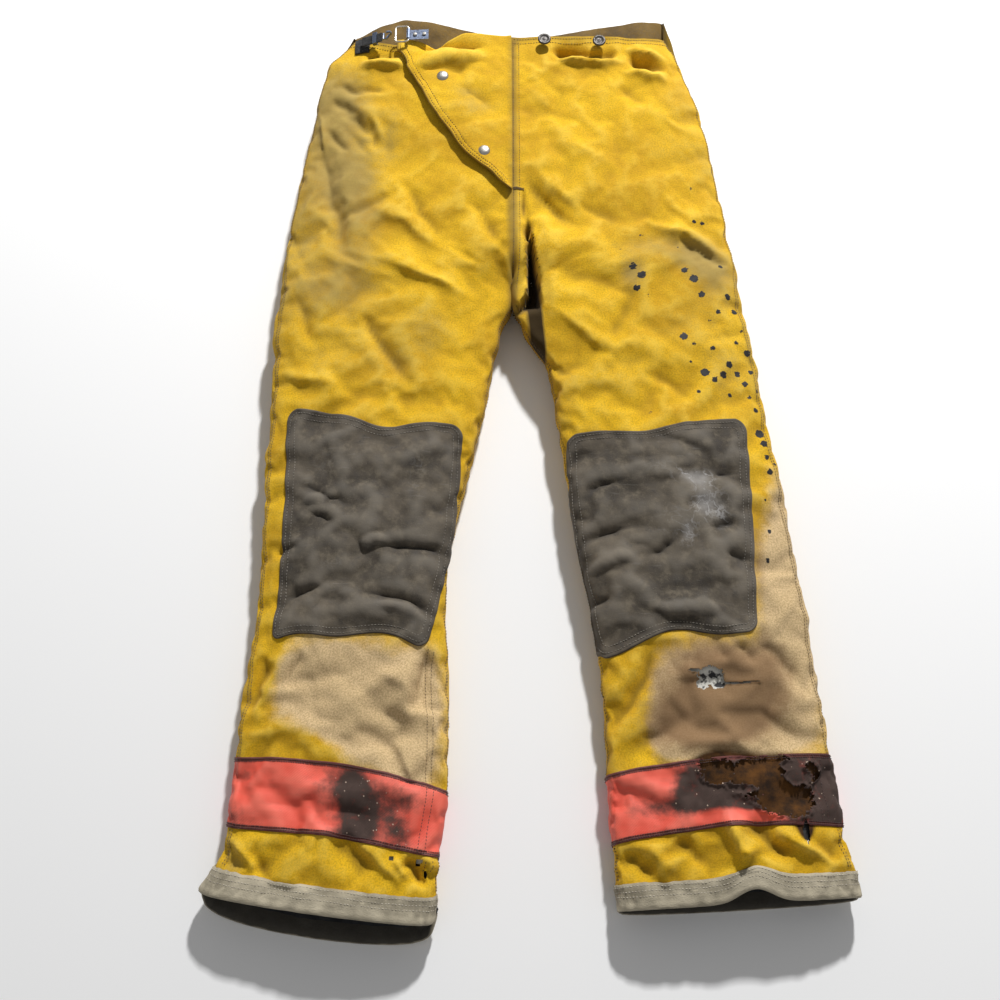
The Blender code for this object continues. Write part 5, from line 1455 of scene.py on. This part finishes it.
for inset in EDGE_ROWS:
    x = -(reach - inset)
    inside = x < -0.003
    x, y = x[inside], flap_row(x[inside], down[inside])
    lines.append(wall_line(RIGHT, *front_at(RIGHT, x, y), flap_lift(np.ones_like(x)) + FLAP_CLOTH, False))
thread = sewn("flap_stitches", THREAD_TAN, lines)
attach(thread, "fly_flap")
spots = np.linspace(-0.010, 0.014, 40)
lines = []
for rise in (0.0, 0.0012, 0.0024):
    place = front_at(LEFT, np.abs(spots) + 0.0005, np.full_like(spots, 0.840 + rise))
    lines.append(wall_line(LEFT, *place, 0.0006, False))
tack = sewn("fly_bartack", THREAD_TAN, lines, pitch=0.0022, length=0.0024, width=0.0011)
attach(tack, "seat")


def turned(name, profile, place, look, body, up=1.0, steps=40):
    """Round piece: its profile of (radius, height) turned about Z, standing on a place."""
    rings = np.array([(r * math.cos(a), up * r * math.sin(a), up * h)
                      for r, h in profile for a in np.linspace(0, 2 * math.pi, steps, endpoint=False)])
    count = len(profile)
    faces = []
    for k in range(count - 1):
        for i in range(steps):
            j = (i + 1) % steps
            face = [k * steps + i, (k + 1) * steps + i, (k + 1) * steps + j, k * steps + j]
            if profile[k][0] == 0:
                face = [k * steps, face[1], face[2]]
            elif profile[k + 1][0] == 0:
                face = [face[0], (k + 1) * steps, face[3]]
            faces.append(face)
    mesh = bpy.data.meshes.new(name)
    mesh.from_pydata((rings + np.array(place)).tolist(), [], faces)
    used = {i for face in faces for i in face}
    obj = bpy.data.objects.new(name, mesh)
    bpy.context.scene.collection.objects.link(obj)
    bm = bmesh.new()
    bm.from_mesh(mesh)
    bm.verts.ensure_lookup_table()
    bmesh.ops.delete(bm, geom=[v for v in bm.verts if v.index not in used], context="VERTS")
    bmesh.ops.recalc_face_normals(bm, faces=bm.faces)
    bm.to_mesh(mesh)
    bm.free()
    mesh.materials.append(look)
    mesh.shade_smooth()
    mesh.set_sharp_from_angle(angle=math.radians(50))
    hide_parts(name)
    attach(obj, body)
    return obj


# Profiles of the turned hardware, as (radius, height).
CAP = [
    (0.0, 0.0034), (0.0016, 0.0034), (0.0036, 0.0031), (0.0054, 0.0025), (0.0066, 0.0018), (0.0073, 0.0011),
    (0.0076, 0.0005), (0.0074, 0.0), (0.0, 0.0),
]
SOCKET = [
    (0.0036, 0.0024), (0.0042, 0.0027), (0.0056, 0.0026), (0.0061, 0.002), (0.0061, 0.0003), (0.0056, 0.0),
    (0.0038, 0.0), (0.0036, 0.0006), (0.0036, 0.0024),
]
STUD = [
    (0.0, 0.0043), (0.0014, 0.0042), (0.0024, 0.0038), (0.0029, 0.0032), (0.0027, 0.0024), (0.0023, 0.0016),
    (0.005, 0.0012), (0.0058, 0.0007), (0.0058, 0.0), (0.0, 0.0),
]
BUTTON = [
    (0.0, 0.0056), (0.0014, 0.0056), (0.0022, 0.0051), (0.0044, 0.005), (0.0054, 0.0058), (0.0066, 0.0063),
    (0.0077, 0.0061), (0.0084, 0.0054), (0.0086, 0.0046), (0.0083, 0.0038), (0.006, 0.0033),
    (0.0032, 0.0029), (0.003, 0.0), (0.0, 0.0),
]
# How far a cap sinks into the flap.
CAP_SINK = 0.0004


def stand_of(node, top=False):
    """Middle of a node's underside, or of its top."""
    low, high = (np.array(corner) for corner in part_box(node))
    middle = (low + high) / 2
    return np.array([middle[0], middle[1], high[2] if top else low[2]])


def height_of_front(x, y):
    side = LEFT if x > 0 else RIGHT
    turn, row = front_at(side, x, y)
    return float(sample(SURFACE[side], turn, row, False)[..., 2])


for level in ("upper", "lower"):
    for piece, profile, body, look in (("cap", CAP, "fly_flap", NICKEL),
                                       ("socket", SOCKET, "fly_flap", DARK_NICKEL),
                                       ("stud", STUD, "seat", DARK_NICKEL)):
        node = f"fly_snap_{piece}_{level}"
        place = stand_of(node)
        if piece == "cap":
            local = place - ORIGIN
            share_here = abs(local[0]) / float(through(FLAP_EDGE, local[1], 0.004))
            over_front = float(flap_lift(share_here)) + FLAP_CLOTH - CAP_SINK
            place[2] = height_of_front(local[0], local[1]) + over_front + ORIGIN[2]
        turned(node, profile, place, look, body)
for where in ("front", "rear_left", "rear_right"):
    for end in ("inner", "outer"):
        name, front = f"suspender_button_{where}_{end}", where == "front"
        turned(name, BUTTON, stand_of(name, not front), PEWTER, "seat", 1.0 if front else -1.0)
# Hardware whose CAD shapes are kept, with their materials.
for node, look in (("ring_plate", BLUED), ("dee_ring", NICKEL), ("strap_hook", BLUED),
                   ("strap_keeper", BLUED), ("plate_rivet_inner", NICKEL), ("plate_rivet_outer", NICKEL)):
    for material_slot in frame["nodes"][node].material_slots:
        material_slot.material = look

# Webbing strap of the closure, and the piece of webbing that it is sewn to.
low, high = (np.array(corner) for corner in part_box("waist_strap"))
STRAP_TILT, STRAP_CLOTH, STRAP_LENGTH, STRAP_HALF = math.radians(21.0), 0.0020, 0.0290, 0.007
strap_start = np.array([low[0] + 0.0004, (low[1] + high[1]) / 2, low[2] + STRAP_CLOTH / 2])
strap_way = np.array([math.cos(STRAP_TILT), 0, math.sin(STRAP_TILT)])
strap_up = np.array([-math.sin(STRAP_TILT), 0, math.cos(STRAP_TILT)])
along = np.linspace(0.0, STRAP_LENGTH, 60)[:, None]
width = (fine_ends(20, half=STRAP_HALF) * STRAP_HALF)[None, :]
edge = np.sqrt(np.clip(1 - (np.abs(width) / 0.0071) ** 8, 0, 1))
rib = 0.00012 * np.sin(along * 2 * math.pi / 0.0012)
half = STRAP_CLOTH / 2 * edge + rib * edge
grids = []
for sign in (1, -1):
    height = sign * half - 0.0004 * np.sin(along / STRAP_LENGTH * math.pi)
    grids.append(strap_start + along[..., None] * strap_way + width[..., None] * np.array([0, 1, 0])
                 + height[..., None] * strap_up)
labels = np.arange(along.size * width.size).reshape(along.size, width.size)
points, faces, _ = skins(grids[0], grids[1], labels)
strap = new_object("waist_strap", points, faces, WEBBING)
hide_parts("waist_strap")
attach(strap, "hook_strap")
x, y = np.meshgrid(np.linspace(-0.2075, -0.1885, 30), np.linspace(1.0605, 1.0855, 40), indexing="ij")
turn, row = front_at(RIGHT, x, y)
anchor = cloth("strap_anchor", RIGHT, turn, row, False, 0.0026, 0.0006, WEBBING, {}, soft=False)
anchor.data.flip_normals()
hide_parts("strap_anchor")
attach(anchor, "seat")

# Floor, light and camera.
bpy.ops.mesh.primitive_plane_add(size=12)
floor = bpy.context.object
floor.name = "floor"
pale = Look("floor_pale", 0.9)
floor.data.materials.append(pale.finish((0.92, 0.92, 0.92)))
world = bpy.data.worlds.new("studio")
world.use_nodes = True
background = world.node_tree.nodes["Background"]
background.inputs[0].default_value = (1, 1, 1, 1)
background.inputs[1].default_value = 0.30
bpy.context.scene.world = world
bpy.context.scene.view_settings.view_transform = "Standard"


def area_light(name, place, size, energy):
    light = bpy.data.lights.new(name, "AREA")
    light.energy, light.size = energy, size
    obj = bpy.data.objects.new(name, light)
    obj.location = place
    obj.rotation_euler = (-Vector(place)).to_track_quat("-Z", "Y").to_euler()
    bpy.context.scene.collection.objects.link(obj)


area_light("key", (0.75, 3.0, 2.2), 0.22, 192)
lens = bpy.data.cameras.new("camera")
lens.lens = 43.2
camera = bpy.data.objects.new("camera", lens)
camera.location = (ORIGIN[0] - 0.016, ORIGIN[1] - 0.028, 1.351)
camera.rotation_euler = (math.radians(19.6), 0, 0)
bpy.context.scene.collection.objects.link(camera)
bpy.context.scene.camera = camera
